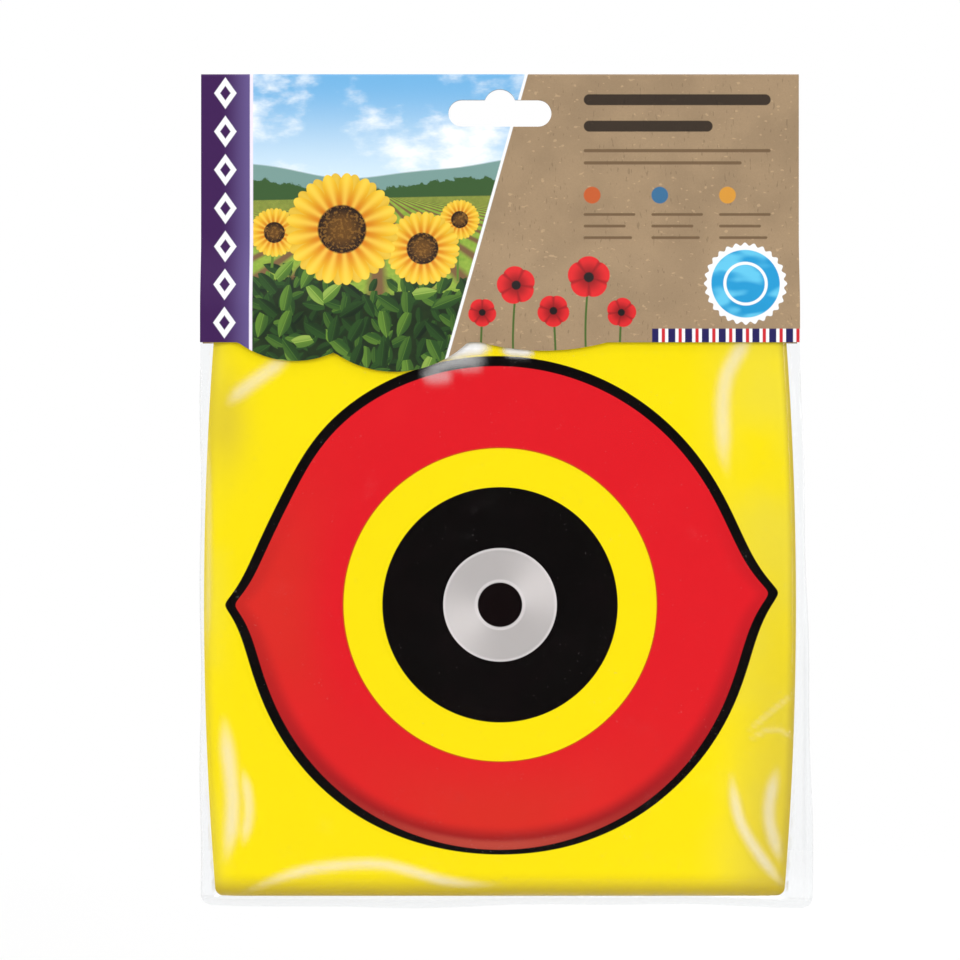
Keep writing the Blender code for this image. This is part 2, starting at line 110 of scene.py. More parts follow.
# Folded packet of six gores
skin = 0.2 * mm
layer_y = {1: -5.475 * mm, 2: -5.025 * mm, 3: -4.175 * mm, 6: -3.725 * mm, 5: -2.875 * mm, 4: -2.425 * mm}
stack_middle_y = -3.95 * mm
stack_half_depth = 1.625 * mm
upper_fold_y = -1.975 * mm
upper_axis_z = -63.6 * mm
lower_axis_z = -237.384 * mm
eye_z = -152.392 * mm
packet_top_z = -60.0 * mm
packet_bottom_z = -242.959 * mm
gore_half_width_full = 91.63 * mm
gore_half_length = 259.889 * mm
side_sag = 3.4 * mm
tip_width = 16.0 * mm
fold_corner = 3.0 * mm
run_half = (upper_axis_z - lower_axis_z) / 2

# Bag
bag_front_y = 5.975 * mm
bag_back_y = 7.175 * mm
bag_half_width = 92.73 * mm
film = 0.1 * mm
mouth_z = -9.05 * mm
mouth_half_gap = 0.12 * mm
seal_top_z = -243.36 * mm
bag_bottom_z = -245.96 * mm
bag_flare = 4.4 * mm
mouth_inset = 1.2 * mm
bag_corner = 3.0 * mm
pocket_x = 4.9 * mm
pocket_z = -136.98 * mm
pocket_y = 13.975 * mm
pocket_flat = 13.5 * mm
pocket_skirt = 13.5 * mm

# Valve
valve_z = -129.984 * mm
flange_y = 5.875 * mm
stem_bend = 3.8 * mm
stem_y = 10.275 * mm
stem_radius = 2.8 * mm
bore_radius = 1.8 * mm
mouth_x = 7.2 * mm
peg_x = 5.2 * mm
peg_z = -136.984 * mm


def smooth(share):
    """Smoothstep of a number or an array."""
    share = np.clip(share, 0.0, 1.0)
    return share * share * (3 - 2 * share)


def spread(start, end, steps):
    return [start + (end - start) * step / steps for step in range(steps + 1)]


def run_through(first, *legs):
    """Places from the first one on. Each leg is given by its end and its number of steps."""
    places = [first]
    for end, steps in legs:
        places += spread(places[-1], end, steps)[1:]
    return places


def colour_field(name, description, *screen):
    return bpy.props.FloatVectorProperty(name=name, description=description, subtype="COLOR", size=3,
                                         default=tone(*screen), min=0, max=1)


def length_field(name, description, size, least=0):
    """A length, given in mm."""
    return bpy.props.FloatProperty(name=name, description=description, unit="LENGTH", default=size * mm,
                                   min=least * mm)


def power_field(name, description, watts):
    return bpy.props.FloatProperty(name=name, description=description, subtype="POWER", default=watts, min=0)


class CardSettings(bpy.types.PropertyGroup):
    kraft: colour_field("Kraft", "Colour of the bare board", 168, 142, 110)
    band: colour_field("Side band", "Colour of the printed band", 60, 17, 83)
    sky: colour_field("Sky", "Colour of the printed sky", 112, 178, 226)
    gold: colour_field("Petals", "Colour of the printed sunflowers", 236, 186, 28)
    poppy: colour_field("Poppies", "Colour of the printed poppies", 222, 34, 38)


class BalloonSettings(bpy.types.PropertyGroup):
    yellow: colour_field("Yellow", "Colour of the vinyl", 252, 228, 3)
    red: colour_field("Red", "Colour of the eye's field", 227, 24, 35)
    black: colour_field("Black", "Colour of the iris and the outline", 7, 3, 3)
    outline_radius: length_field("Eye radius", "Mean outer radius of the black outline", 77.95)
    outline_width: length_field("Outline width", "Width of the black outline", 3.15)
    ring_radius: length_field("Yellow ring", "Outer radius of the yellow ring", 48.4)
    iris_radius: length_field("Iris", "Radius of the black iris", 36.4)
    foil_radius: length_field("Foil disc", "Radius of the reflective disc", 17.6)
    pupil_radius: length_field("Pupil", "Radius of the pupil printed on the foil", 6.85)
    foil: colour_field("Foil", "Colour of the brushed foil", 232, 225, 223)
    puff: length_field("Puff", "How far trapped air lifts the front of the packet", 0.9)
    weld_pitch: length_field("Weld pitch", "Distance between the ribs of a weld", 1.2, 0.3)


class BagSettings(bpy.types.PropertyGroup):
    crease_height: length_field("Crease height", "Height of the sharpest crease in the film", 0.9)
    ripple: length_field("Ripple", "Height of the small ripples in the film", 0.3)
    # Scales the white at the film's creases, which is painted highlight; the welds' white is set in the
    # film's finish
    haze: bpy.props.FloatProperty(
        name="Haze", description="How white the film is at its creases and welds", subtype="FACTOR",
        default=0.26, min=0, max=1)


class ValveSettings(bpy.types.PropertyGroup):
    colour: colour_field("Vinyl", "Colour of the soft valve vinyl", 226, 226, 218)
    sides: bpy.props.IntProperty(
        name="Sides", description="Sides of the round parts", default=56, min=12)


class StudioSettings(bpy.types.PropertyGroup):
    left_power: power_field("Left lamp", "Power of the left lamp", 11.1)
    right_power: power_field("Right lamp", "Power of the right lamp", 7.3)
    top_power: power_field("Top lamp", "Power of the top lamp", 3.0)
    back_power: power_field("Back lamp", "Power of the lamp behind", 14.0)
    ambient: bpy.props.FloatProperty(
        name="Ambient", description="Level of the light from all round", default=0.57, min=0)
    camera_distance: length_field("Camera distance", "From the camera to the slot", 1500)
    view_width: length_field("View width", "Width of the view at the object", 297.1)


def math_node(operation, swapped=False):
    """A method that adds one Math node to a signal and the values that it is given."""
    def method(self, *others):
        values = (*others, self) if swapped else (self, *others)
        return self.sketch.node("ShaderNodeMath", dict(enumerate(values)), operation=operation)
    return method


class Signal:
    """A node's output that takes part in Python sums. Each operator adds its Math node."""

    def __init__(self, sketch, socket):
        self.sketch = sketch
        self.socket = socket

    __add__ = __radd__ = math_node("ADD")
    __mul__ = __rmul__ = math_node("MULTIPLY")
    __sub__, __rsub__ = math_node("SUBTRACT"), math_node("SUBTRACT", swapped=True)
    __truediv__, __pow__, __abs__ = math_node("DIVIDE"), math_node("POWER"), math_node("ABSOLUTE")
    most, root, floor = math_node("MAXIMUM"), math_node("SQRT"), math_node("FLOOR")
    sine, cosine, arctan2 = math_node("SINE"), math_node("COSINE"), math_node("ARCTAN2")
    exponent = math_node("EXPONENT")

    def __neg__(self):
        return self * -1

    def clamped(self, extra=0):
        """This and an extra, kept between 0 and 1."""
        return self.sketch.node("ShaderNodeMath", {0: self, 1: extra}, operation="ADD", use_clamp=True)

    def inside(self, soft=0.25):
        """1 where this distance is below nothing, 0 where it is above, with a soft edge."""
        return (self * (-1 / soft)).clamped(0.5)

    def ease(self, low, high):
        """0 at low, 1 at high, and smooth between them."""
        sockets = {"Value": self, "From Min": low, "From Max": high}
        return self.sketch.node("ShaderNodeMapRange", sockets, interpolation_type="SMOOTHSTEP")


class Sketch:
    """A node tree that is filled by one method."""

    def __init__(self, tree):
        self.tree = tree

    def node(self, kind, sockets=None, output=0, **settings):
        """Adds a node, sets its settings and then its sockets, and returns one of its outputs."""
        node = self.tree.nodes.new(kind)
        for key, value in settings.items():
            if key == "stops":
                self.set_stops(node.color_ramp, value)
            else:
                setattr(node, key, value)
        for key, value in (sockets or {}).items():
            socket = self.find(node.inputs, key)
            if isinstance(value, Signal):
                self.tree.links.new(value.socket, socket)
            else:
                socket.default_value = value
        return Signal(self, self.find(node.outputs, output))

    @staticmethod
    def set_stops(ramp, stops):
        while len(ramp.elements) < len(stops):
            ramp.elements.new(1)
        for element, (position, colour) in zip(ramp.elements, stops):
            element.position = position
            element.color = (*colour, 1)

    @staticmethod
    def find(sockets, key):
        """The socket with this number or identifier, or else with this name."""
        if isinstance(key, int):
            return sockets[key]
        for socket in sockets:
            if socket.identifier == key:
                return socket
        return sockets[key]

    def outputs(self, signal):
        """All the outputs of a signal's node, by their names."""
        return {socket.name: Signal(self, socket) for socket in signal.socket.node.outputs if socket.name}

    def vector(self, operation, *values, output=0):
        return self.node("ShaderNodeVectorMath", dict(enumerate(values)), output, operation=operation)

    def join(self, x, y, z):
        return self.node("ShaderNodeCombineXYZ", {"X": x, "Y": y, "Z": z})

    def split(self, vector):
        return list(self.outputs(self.node("ShaderNodeSeparateXYZ", {0: vector})).values())

    def in_mm(self, place):
        """A place's x, y and z in mm."""
        scaled = self.node("ShaderNodeVectorMath", {0: place, "Scale": 1 / mm}, operation="SCALE")
        return self.split(scaled)

    def attribute(self, name):
        return self.node("ShaderNodeAttribute", None, "Fac", attribute_name=name)


class Finish(Sketch):
    """One material, made of nodes round a Principled shader."""

    def __init__(self, name, **plain):
        self.material = bpy.data.materials.new(name)
        self.material.use_nodes = True
        super().__init__(self.material.node_tree)
        self.tree.nodes.clear()
        self.output = self.tree.nodes.new("ShaderNodeOutputMaterial")
        self.shader = self.tree.nodes.new("ShaderNodeBsdfPrincipled")
        self.tree.links.new(self.shader.outputs[0], self.output.inputs["Surface"])
        self.set(**plain)

    def set(self, **values):
        """Sets or links the shader's sockets, named with _ for a space."""
        for key, value in values.items():
            socket = self.shader.inputs[key.replace("_", " ")]
            if isinstance(value, Signal):
                self.tree.links.new(value.socket, socket)
            else:
                socket.default_value = (*value, 1) if socket.type == "RGBA" else value

    def mix(self, share, other, place):
        """Mixes the shader with another one, which takes place 1 or 2."""
        mixed = self.node("ShaderNodeMixShader", {0: share, place: other})
        self.tree.links.new(self.shader.outputs[0], mixed.socket.node.inputs[3 - place])
        self.tree.links.new(mixed.socket, self.output.inputs["Surface"])

    def blend(self, share, low, high):
        low, high = (value if isinstance(value, Signal) else (*value, 1) for value in (low, high))
        sockets = {"Factor_Float": share, "A_Color": low, "B_Color": high}
        return self.node("ShaderNodeMix", sockets, "Result_Color", data_type="RGBA", blend_type="MIX")

    def layers(self, colour, *layers):
        """Lays tints over a colour, each given as its mask and its tint."""
        for mask, tint in layers:
            colour = self.blend(mask, colour, tint)
        return colour

    def here(self):
        """Object coordinates."""
        return self.node("ShaderNodeTexCoord", None, "Object")

    def grain(self, scale, detail=2.0, roughness=0.5, stretch=None, place=None):
        """Noise over the object or over a given place, finer along an axis with a larger factor."""
        place = place or self.here()
        if stretch:
            place = self.vector("MULTIPLY", place, stretch)
        sockets = {"Vector": place, "Scale": scale, "Detail": detail, "Roughness": roughness}
        return self.node("ShaderNodeTexNoise", sockets, "Fac")

    def bump(self, height, distance, strength, under=None):
        sockets = {"Height": height, "Distance": distance, "Strength": strength}
        if under is not None:
            sockets["Normal"] = under
        return self.node("ShaderNodeBump", sockets)


# Inks of the plain lines on both faces of the card
ink = tone(38, 28, 22)
faded_ink = tone(112, 88, 62)


def dot(finish, x, z, centre_x, centre_z, radius):
    """Distance in mm from a circle's edge on the flat of the card."""
    return finish.vector("DISTANCE", finish.join(x, 0, z), (centre_x, 0, centre_z), output="Value") - radius


def bars(finish, x, z, colour, share, rows):
    """Lays level bars with round ends: left, right, level and half height of each in mm, and its ink."""
    for left, right, level, half_height, tint in rows:
        half = (right - left) / 2 - half_height
        across = (abs(x - (left + right) / 2) - half).most(0)
        up = z - level
        edge = (across * across + up * up).root() - half_height
        colour = finish.blend(edge.inside() * share, colour, tint)
    return colour


def kraft_base(finish, colour):
    """Bare kraft board: soft clouds, fine grain, and dark and pale fibres."""
    grain = finish.grain(2400)
    long_fibre = finish.grain(1500, 1, stretch=(1.0, 1.0, 0.28))
    fleck = finish.grain(820, 1, stretch=(0.6, 1.0, 1.0))
    dark, shade, pale = (tuple(min(value * gain, 1) for value in colour) for gain in (0.60, 0.86, 1.42))
    mixed = finish.layers(
        colour,
        (finish.grain(60, 3).ease(0.35, 0.68), shade),
        ((grain - 0.5) * 0.5 + 0.12, dark),
        (long_fibre.ease(0.66, 0.76) * 0.65, dark),
        (fleck.ease(0.67, 0.74) * 0.55, pale))
    return mixed, grain * 0.5 + long_fibre


def printed_board(name, settings, plain, gain, least):
    """Kraft board that takes a print: its finish, its bare colour, and x and z on it in mm."""
    finish = Finish(name, Roughness=plain, Specular_IOR_Level=0.3)
    base, height = kraft_base(finish, tuple(settings.kraft))
    finish.set(Roughness=finish.grain(900) * gain + least, Normal=finish.bump(height, 0.00003, 0.5))
    x, _, z = finish.in_mm(finish.here())
    return finish, base, x, z


def side_band(finish, x, colour, tint):
    """The straight band down the left side, with its pale keyline."""
    return finish.layers(colour, ((x + 76.6).inside(), tone(240, 232, 246)), ((x + 77.6).inside(), tint))


def leaf_layer(finish, x, z, spacing, length, width, lean, shift, top):
    """Scattered printed leaves, in mm: where they lie below a line, and the shade of each place."""
    place = finish.join(x + shift, z + shift, 0)
    sockets = {"Vector": place, "Scale": 1 / spacing, "Randomness": 0.7}
    cell = finish.outputs(finish.node("ShaderNodeTexVoronoi", sockets, "Position", voronoi_dimensions="2D"))
    chance, tint, _ = finish.split(cell["Color"])
    u, v, _ = finish.split(finish.vector("SUBTRACT", place, cell["Position"]))
    _, middle_z, _ = finish.split(cell["Position"])
    turn = (chance - 0.5) * 2.6 + lean
    cosine, sine = turn.cosine(), turn.sine()
    along, across = u * cosine + v * sine, v * cosine - u * sine
    blade = (1 - (along / length) ** 2) * width
    mask = (abs(across) - blade).inside(0.22) * (middle_z - shift - top).inside(0.5)
    vein = (abs(across) - 0.08).inside(0.2)
    return mask, tint * 0.62 + (across / width).ease(-0.6, 0.6) * 0.24 + vein * 0.22


def bloom(x, z, spot, petals, bite, phase):
    """A round flower: share of its radius from its centre, mm from its petals' edge, and their wave."""
    centre_x, centre_z, radius = spot
    dx, dz = x - centre_x, z - centre_z
    away = (dx * dx + dz * dz).root()
    wave = abs((dz.arctan2(dx) * (petals / 2) + phase).cosine())
    edge = away - (wave ** 0.6 * bite + 1 - bite) * radius
    return away / radius, edge, wave


def stem(x, z, spot, sway, half):
    """Distance in mm from a stem that runs from a flower down to the card's lower edge."""
    centre_x, centre_z, _ = spot
    bend = ((z - centre_z) / 11).sine() * sway
    return (abs(x - centre_x - bend) - half).most(z - centre_z)


def field_picture(finish, x, z, settings):
    """Sky, hills and rows of a field, with sunflowers over a bank of leaves."""
    cloud = finish.grain(30, 5, 0.6, (1.0, 1.0, 1.9))
    tree_line = finish.grain(330, 3, 0.6) * 5 - 2.5
    far_top = (x / 17 + 1).sine() * 2.8 + (x / 6.3).sine() * 0.5 - 17
    near_top = (x / 12 + 2.2).sine() * 2.0 - 22 + tree_line
    field_top = x * 0.02 - 25.5
    row = (x + 38) / (field_top - z + 2.2) * 2.1
    furrow = (abs(row - row.floor() - 0.5) - 0.3).inside(0.2)
    crop = finish.blend(finish.grain(700, 3), tone(104, 146, 44), tone(168, 190, 74))
    crest = (x / 14 + 0.4).sine() * 3.0 + (x / 5.2).sine() * 1.2 - 50
    colour = finish.layers(
        finish.blend(z.ease(-26, 12), tone(214, 234, 246), settings.sky),
        (cloud.ease(0.46, 0.66), tone(250, 252, 253)),
        ((z - far_top).inside(0.5), tone(120, 156, 150)),
        ((z - near_top).inside(0.4), tone(58, 92, 48)),
        ((z - field_top).inside(0.3), finish.blend(furrow, tone(122, 92, 58), crop)),
        ((z - crest + 3.5 + tree_line).inside(0.4),
         finish.blend(finish.grain(260), tone(14, 24, 14), tone(40, 62, 26))))

    # Bank of leaves: spacing, length, width and lean of each layer, its shift, and how light it is
    greens = ((0.0, tone(16, 32, 18)), (0.4, tone(44, 82, 30)), (0.7, tone(98, 138, 46)),
              (1.0, tone(178, 202, 96)))
    for *leaf, gain in ((4.6, 3.1, 1.15, 1.2, 31.7, 0.70), (6.0, 4.2, 1.55, 1.7, 73.3, 0.85),
                        (7.4, 5.0, 1.85, 1.4, 127.9, 1.0)):
        mask, shade = leaf_layer(finish, x, z, *leaf, crest)
        green = finish.node("ShaderNodeValToRGB", {"Fac": shade * gain}, stops=greens)
        colour = finish.blend(mask, colour, green)

    # Sunflowers, the far ones first, each with a dim ring of petals behind a bright one
    for spot, sway in (((-12.5, -33, 6.2), 0.6), ((-70, -37, 7.6), 0.8), ((-24, -42, 11.5), 1.2),
                       ((-49, -36, 17.5), 1.5)):
        stalk = stem(x, z, spot, sway, spot[2] * 0.055).most(crest - z)
        colour = finish.blend(stalk.inside(), colour, tone(92, 128, 44))
        for phase, dim in ((1.3, 0.80), (0.0, 1.0)):
            away, edge, wave = bloom(x, z, spot, 17, 0.34, phase)
            petal = finish.layers(
                finish.blend(away.ease(0.35, 0.95), tone(214, 122, 12), settings.gold),
                (wave ** 3 * 0.5, tone(255, 226, 92)), (1 - dim, tone(150, 84, 8)))
            colour = finish.blend(edge.inside(0.22), colour, petal)
        disc = finish.blend(away.ease(0.12, 0.42), tone(104, 68, 22), tone(38, 22, 12))
        disc = finish.blend(finish.grain(1400).ease(0.5, 0.62) * 0.6, disc, tone(150, 104, 40))
        colour = finish.blend((away - 0.43).inside(0.03), colour, disc)
    return colour


def poppies(finish, x, z, settings, colour):
    """Red poppies with thin stems along the foot of the bare board."""
    for spot, sway in (((-5.5, -62, 4.4), 0.5), ((5, -53.5, 6.0), 1.0), ((16.5, -61.5, 5.0), -0.7),
                       ((27.5, -51, 6.6), 1.1), ((37.5, -62, 4.6), 0.6)):
        away, edge, wave = bloom(x, z, spot, 5, 0.13, spot[0])
        tint = finish.blend(away.ease(0.2, 0.9), tone(150, 14, 20), settings.poppy)
        tint = finish.blend((1 - wave).ease(0.5, 1.0) * 0.6, tint, tone(126, 10, 18))
        colour = finish.layers(
            colour, (stem(x, z, spot, sway, 0.32).inside(0.22), tone(74, 104, 42)),
            (edge.inside(0.22), tint), ((away - 0.24).inside(0.06), tone(30, 16, 18)))
    return colour


def line_rows(finish, x, z, colour):
    """Plain bars and dots where a card has its lines."""
    rows = [(26, 84, 4.2, 1.7, ink), (26, 66, -4.0, 1.7, ink), (26, 84, -11.6, 0.5, faded_ink),
            (26, 75, -15.4, 0.5, faded_ink)]
    for column in (26, 47, 68):
        rows += [(column, column + reach, level, 0.42, faded_ink)
                 for reach, level in ((16, -31.4), (13, -35.0), (15, -38.6))]
    colour = bars(finish, x, z, colour, 0.93, rows)
    for place, tint in ((28.6, tone(196, 92, 44)), (49.6, tone(58, 110, 150)), (70.6, tone(214, 150, 54))):
        colour = finish.blend(dot(finish, x, z, place, -25.4, 2.6).inside(0.3), colour, tint)
    return colour


def card_print(settings):
    """The front of the card: a field under a summer sky on the left, bare kraft with poppies on the right."""
    finish, base, x, z = printed_board("card_print", settings, 0.55, 0.14, 0.46)
    white = tone(243, 244, 246)
    colour = poppies(finish, x, z, settings, line_rows(finish, x, z, base))

    # The picture ends at a slanted line with a pale keyline
    slant = x + 4 - (z + 30) * 0.28
    colour = finish.layers(colour, ((slant - 0.9).inside(), white),
                           (slant.inside(), field_picture(finish, x, z, settings)))

    # Plain lozenges down the side band
    sheen = finish.blend(x.ease(-87, -75), settings.band, tone(104, 88, 146))
    step = (z - 12.2) / 11.9
    level = (step - step.floor() - 0.5) * 11.9
    lozenge = (abs(x + 85.2) / 3.5 + abs(level) / 4.9 - 1) * 2.8
    colour = finish.layers(side_band(finish, x, colour, sheen), (lozenge.inside(), white),
                           ((lozenge + 1.5).inside(), settings.band))

    # Round blue badge with a toothed edge, and a strip of stripes under it
    badge_x, badge_z = 76, -53
    away = dot(finish, x, z, badge_x, badge_z, 0)
    teeth = ((z - badge_z).arctan2(x - badge_x) * 28).cosine() * 0.45
    swirl = finish.grain(90, 1, stretch=(1.0, 1.0, 2.2))
    place = x / 5.2
    stripe = place - place.floor()
    stripes = finish.blend((stripe - 0.42).inside(0.04), white, tone(32, 24, 92))
    stripes = finish.blend((abs(stripe - 0.71) - 0.10).inside(0.04), stripes, tone(206, 32, 44))
    blue = finish.blend(swirl.ease(0.42, 0.58), tone(24, 150, 206), tone(96, 196, 232))
    finish.set(Base_Color=finish.layers(
        colour,
        ((away - teeth - 12.4).inside(), white),
        ((away - 10.6).inside(), blue),
        ((abs(away - 6.4) - 0.45).inside(), white),
        ((47 - x).most(z + 67.0).inside(), stripes)))
    return finish.material


def card_back_print(settings):
    """The back of the card: kraft, the band again, and a pale panel with plain bars and hanging balls."""
    finish, base, x, z = printed_board("card_back_print", settings, 0.6, 0.16, 0.52)
    panel = (abs(x - 7) - 70).most(abs(z + 36) - 25).inside(0.3)
    colour = finish.blend(panel * 0.94, base, tone(236, 231, 219))
    rows = [(22, 70, -16.5, 1.3, ink)]
    for left, levels in ((22, (-22.4, -26.0, -29.6, -33.2)), (22, (-40.4, -44.0, -47.6, -51.2)),
                         (-56, (-47.6, -51.2, -54.8))):
        rows += [(left, left + reach, level, 0.45, faded_ink)
                 for reach, level in zip((48, 44, 47, 31), levels)]
    colour = bars(finish, x, z, colour, 0.9, rows)
    for place in (-49, -29, -9):
        ball = dot(finish, x, z, place, -25, 0)
        colour = finish.layers(
            colour, ((abs(ball - 8.0) - 0.35).inside(), ink), ((ball - 4.6).inside(), tone(206, 52, 48)),
            ((ball - 3.0).inside(), settings.gold), ((ball - 1.7).inside(), ink),
            ((abs(x - place) - 0.3).most(abs(z + 14.5) - 2.5).inside(), ink))
    finish.set(Base_Color=side_band(finish, x, colour, settings.band))
    return finish.material


def plain_board(settings, name, share):
    """Unprinted board: the inner faces, or the paler cut edge."""
    finish = Finish(name, Roughness=0.8)
    base, height = kraft_base(finish, tuple(min(value * share, 1) for value in settings.kraft))
    finish.set(Base_Color=base, Normal=finish.bump(height, 0.00004, 0.6))
    return finish.material


def vinyl_surface(finish, colour, reach, depth):
    """Gloss, faint handling marks and the weld band, on all the vinyl. The band's olive tint is also painted
    shade of the packet's rounded sides, stronger on the right, and the lower fold gets painted shade.
    """
    rim = finish.attribute("rim")
    band = rim.ease(reach, 0.2)
    x, _, z = finish.split(finish.here())
    fold = z.ease(packet_bottom_z + 8.5 * mm, packet_bottom_z + 0.3 * mm)
    # Painted shade: the rim band turns olive by depth, more on the right side than the left, and the vinyl
    # darkens towards the lower fold
    shaded = finish.layers(colour, (band * (x.ease(-0.06, 0.06) * 0.55 + 0.45) * depth, tone(196, 172, 56)),
                           (fold * 0.9, tone(192, 164, 34)))
    wave = finish.grain(48, stretch=(1.0, 1.0, 0.6))
    hatch = (rim * 5.2).sine() * band
    under = finish.bump(wave, 0.0011, 0.22)
    finish.set(Base_Color=shaded, Roughness=finish.grain(55, 4, 0.6) * 0.16 + 0.32 + band * 0.12,
               Normal=finish.bump(finish.grain(1900) * 0.6 + hatch * 0.5, 0.00003, 0.5, under))
    return finish.material


def vinyl_print(settings):
    """Yellow vinyl with the printed eye. The print lies on the sheet's own flat map, in metres."""
    finish = Finish("printed_vinyl", IOR=1.45, Specular_IOR_Level=0.15)
    x, z, _ = finish.in_mm(finish.node("ShaderNodeUVMap", uv_map="Print"))
    away = (x * x + z * z).root()
    turn = z.arctan2(x)

    def swell(degrees, width):
        """A smooth rise about one direction from the eye's centre."""
        return (((turn - math.radians(degrees)).cosine() - 1) / width ** 2).exponent()

    def corner(angle, fall):
        """A drawn-out corner of the eye, from the angle to it."""
        blunt = math.radians(0.9) ** 2
        return ((angle * angle + blunt).root() / -math.radians(fall)).exponent()

    # The outline has two corners and the dents of a sheet that has been folded
    shape = corner(turn - math.radians(2.5), 6.5) * 10.0 + corner(math.pi - abs(turn), 5.0) * 7.7
    shape = shape - turn.cosine() - turn.sine()
    shape = shape - swell(155, 0.22) * 2.84 - swell(265, 0.35) * 1.73 + swell(340, 0.30) * 1.10
    outer = away - shape - settings.outline_radius / mm
    width = settings.outline_width / mm - swell(268, 0.35) * 1.65 - swell(312, 0.25) * 0.66
    soot = finish.blend(finish.grain(90, 3).ease(0.42, 0.66) * 0.6, settings.black, tone(13, 5, 6))

    # Painted shade on the yellow under the film: duller over a noise at its sides, and olive at the lower
    # right and the upper left
    painted_side_shade = finish.grain(24, 3, 0.5).ease(0.34, 0.60) * x.ease(56, 82).most((-x).ease(80, 93))
    painted_olive_shade = x.ease(66, 88) * (0.36 - z / 150).clamped() * 0.85
    west, north = x + 85, z - 57
    painted_olive_shade = painted_olive_shade.most((west * west / -45 + north * north / -240).exponent() * 0.6)
    yellow = finish.layers(settings.yellow, (painted_side_shade * 0.8, tone(242, 222, 60)), (painted_olive_shade, tone(212, 188, 60)))

    # Painted shade: the red turns duller and more orange towards the left and the bottom of the eye
    painted_orange_shade = swell(270, 0.50) * away.ease(38, 66) * 0.75 + swell(180, 0.35) * away.ease(50, 68) * 0.7
    # Painted shade and highlight on the red: a dark band inside the outline, darker towards the bottom, and a
    # lighter line along the outline at the bottom
    painted_shade_band = outer.ease(-9.2, -4.2) * (0.35 - z / 100).clamped()
    red = finish.layers(
        settings.red,
        (painted_orange_shade.clamped(), tone(216, 50, 34)),
        (finish.grain(22).ease(0.5, 0.75) * 0.2, tone(234, 38, 40)),
        (painted_shade_band * 0.72, tone(124, 18, 26)),
        (outer.ease(-5.2, -3.2) * swell(268, 0.35) * 0.6, tone(206, 88, 70)))
    ring = settings.ring_radius / mm
    dust = finish.grain(1150, 1).ease(0.70, 0.76) * finish.grain(140).ease(0.42, 0.62)
    return vinyl_surface(finish, finish.layers(
        yellow,
        (outer.inside(0.2), soot),
        ((outer + width).inside(0.2), red),
        ((away - ring - 0.35).inside(0.3), tone(196, 70, 12)),
        ((away - ring).inside(0.3), settings.yellow),
        ((away - settings.iris_radius / mm).inside(0.2), soot),
        (dust * 0.10, (0.55, 0.50, 0.48))), 3.2, 0.90)


def plain_vinyl(settings):
    finish = Finish("plain_vinyl", IOR=1.52)
    tint = finish.blend(finish.grain(30, 3).ease(0.4, 0.7) * 0.3, settings.yellow, tone(240, 214, 24))
    return vinyl_surface(finish, tint, 3.8, 0.55)


def foil_finish(settings):
    """Brushed foil with a printed pupil. Its bright and dark sectors and its bright rims are painted
    highlight and shade in its colour; its rings are so fine that they show only as a bump.
    """
    finish = Finish("brushed_foil", Metallic=1.0, Specular_IOR_Level=0.15)
    x, _, z = finish.in_mm(finish.here())
    low = z - eye_z / mm
    away = (x * x + low * low).root()
    worn = finish.grain(900, place=finish.join(away * 0.009, 0, 0))
    # Painted highlight and shade: a bright fan by the angle round the centre, darker between
    painted_fan_light = ((low.arctan2(x) * 2 + 0.70).sine() * 0.5 + 0.5) ** 2.2
    # Painted highlight: lip is a bright rim at the disc's edge and round the pupil
    lip = (abs(away - settings.foil_radius / mm + 0.4) - 0.3).inside(0.4)
    lip = lip.most((abs(away - settings.pupil_radius / mm - 0.6) - 0.4).inside(0.4))
    pupil = (away - settings.pupil_radius / mm).inside(0.15)
    tint = finish.layers(
        tuple(value * 0.72 for value in settings.foil),
        (painted_fan_light, settings.foil),
        (worn.ease(0.4, 0.6) * 0.15, (0.42, 0.40, 0.40)),
        (lip * 0.6, tone(244, 238, 238)),
        (pupil, tone(16, 6, 7)))
    finish.set(Base_Color=tint, Metallic=(1 - pupil) * 0.20, Roughness=worn * 0.12 + 0.32 - pupil * 0.08,
               Normal=finish.bump((away * 21).sine() * (1 - pupil), 0.00002, 0.35))
    return finish.material


def film_finish(settings):
    """Clear film: it shows what is behind it, and mirrors the lamps by its angle. At its creases a white
    share stands in for the lamps' reflections, as painted highlight.
    """
    finish = Finish("clear_film", Base_Color=(1, 1, 1), Roughness=0.06, Metallic=1.0)
    crease, weld = finish.attribute("crease"), finish.attribute("weld")
    fine = finish.grain(160, 3, 0.6, (1.6, 1.0, 0.5))
    seal = (finish.split(finish.here())[0] * 7000).sine() * weld
    normal = finish.bump(fine + seal * 0.08, 0.0004, 0.35)
    facing = finish.node("ShaderNodeLayerWeight", {"Blend": 0.5, "Normal": normal}, "Facing")
    mirror = facing ** 4 * 0.40 + 0.006
    # Painted highlight: white follows the crease attribute, white film where the lamps would be mirrored in
    # the creases
    white = crease * (finish.grain(120, stretch=(2.2, 1.0, 0.5)) * 0.3 + 0.82)
    scuff = finish.grain(70, 5, 0.7).ease(0.58, 0.8) * 0.006
    haze = white * settings.haze + weld * 0.11 + scuff
    # Grey at the welds, and along the margin lines, where the grey is painted shade of the film's folds
    finish.set(Base_Color=finish.blend(weld * (1 - white).clamped(), (1, 1, 1), tone(206, 208, 210)),
               Roughness=(white * 0.35 + weld * 0.2 + 0.05).clamped(),
               Metallic=(mirror / (mirror + haze)).clamped(), Normal=normal)
    clear = finish.node("ShaderNodeBsdfTransparent", {"Color": (0.985, 0.988, 0.99, 1)})
    finish.mix((mirror + haze).clamped(), clear, 1)
    return finish.material


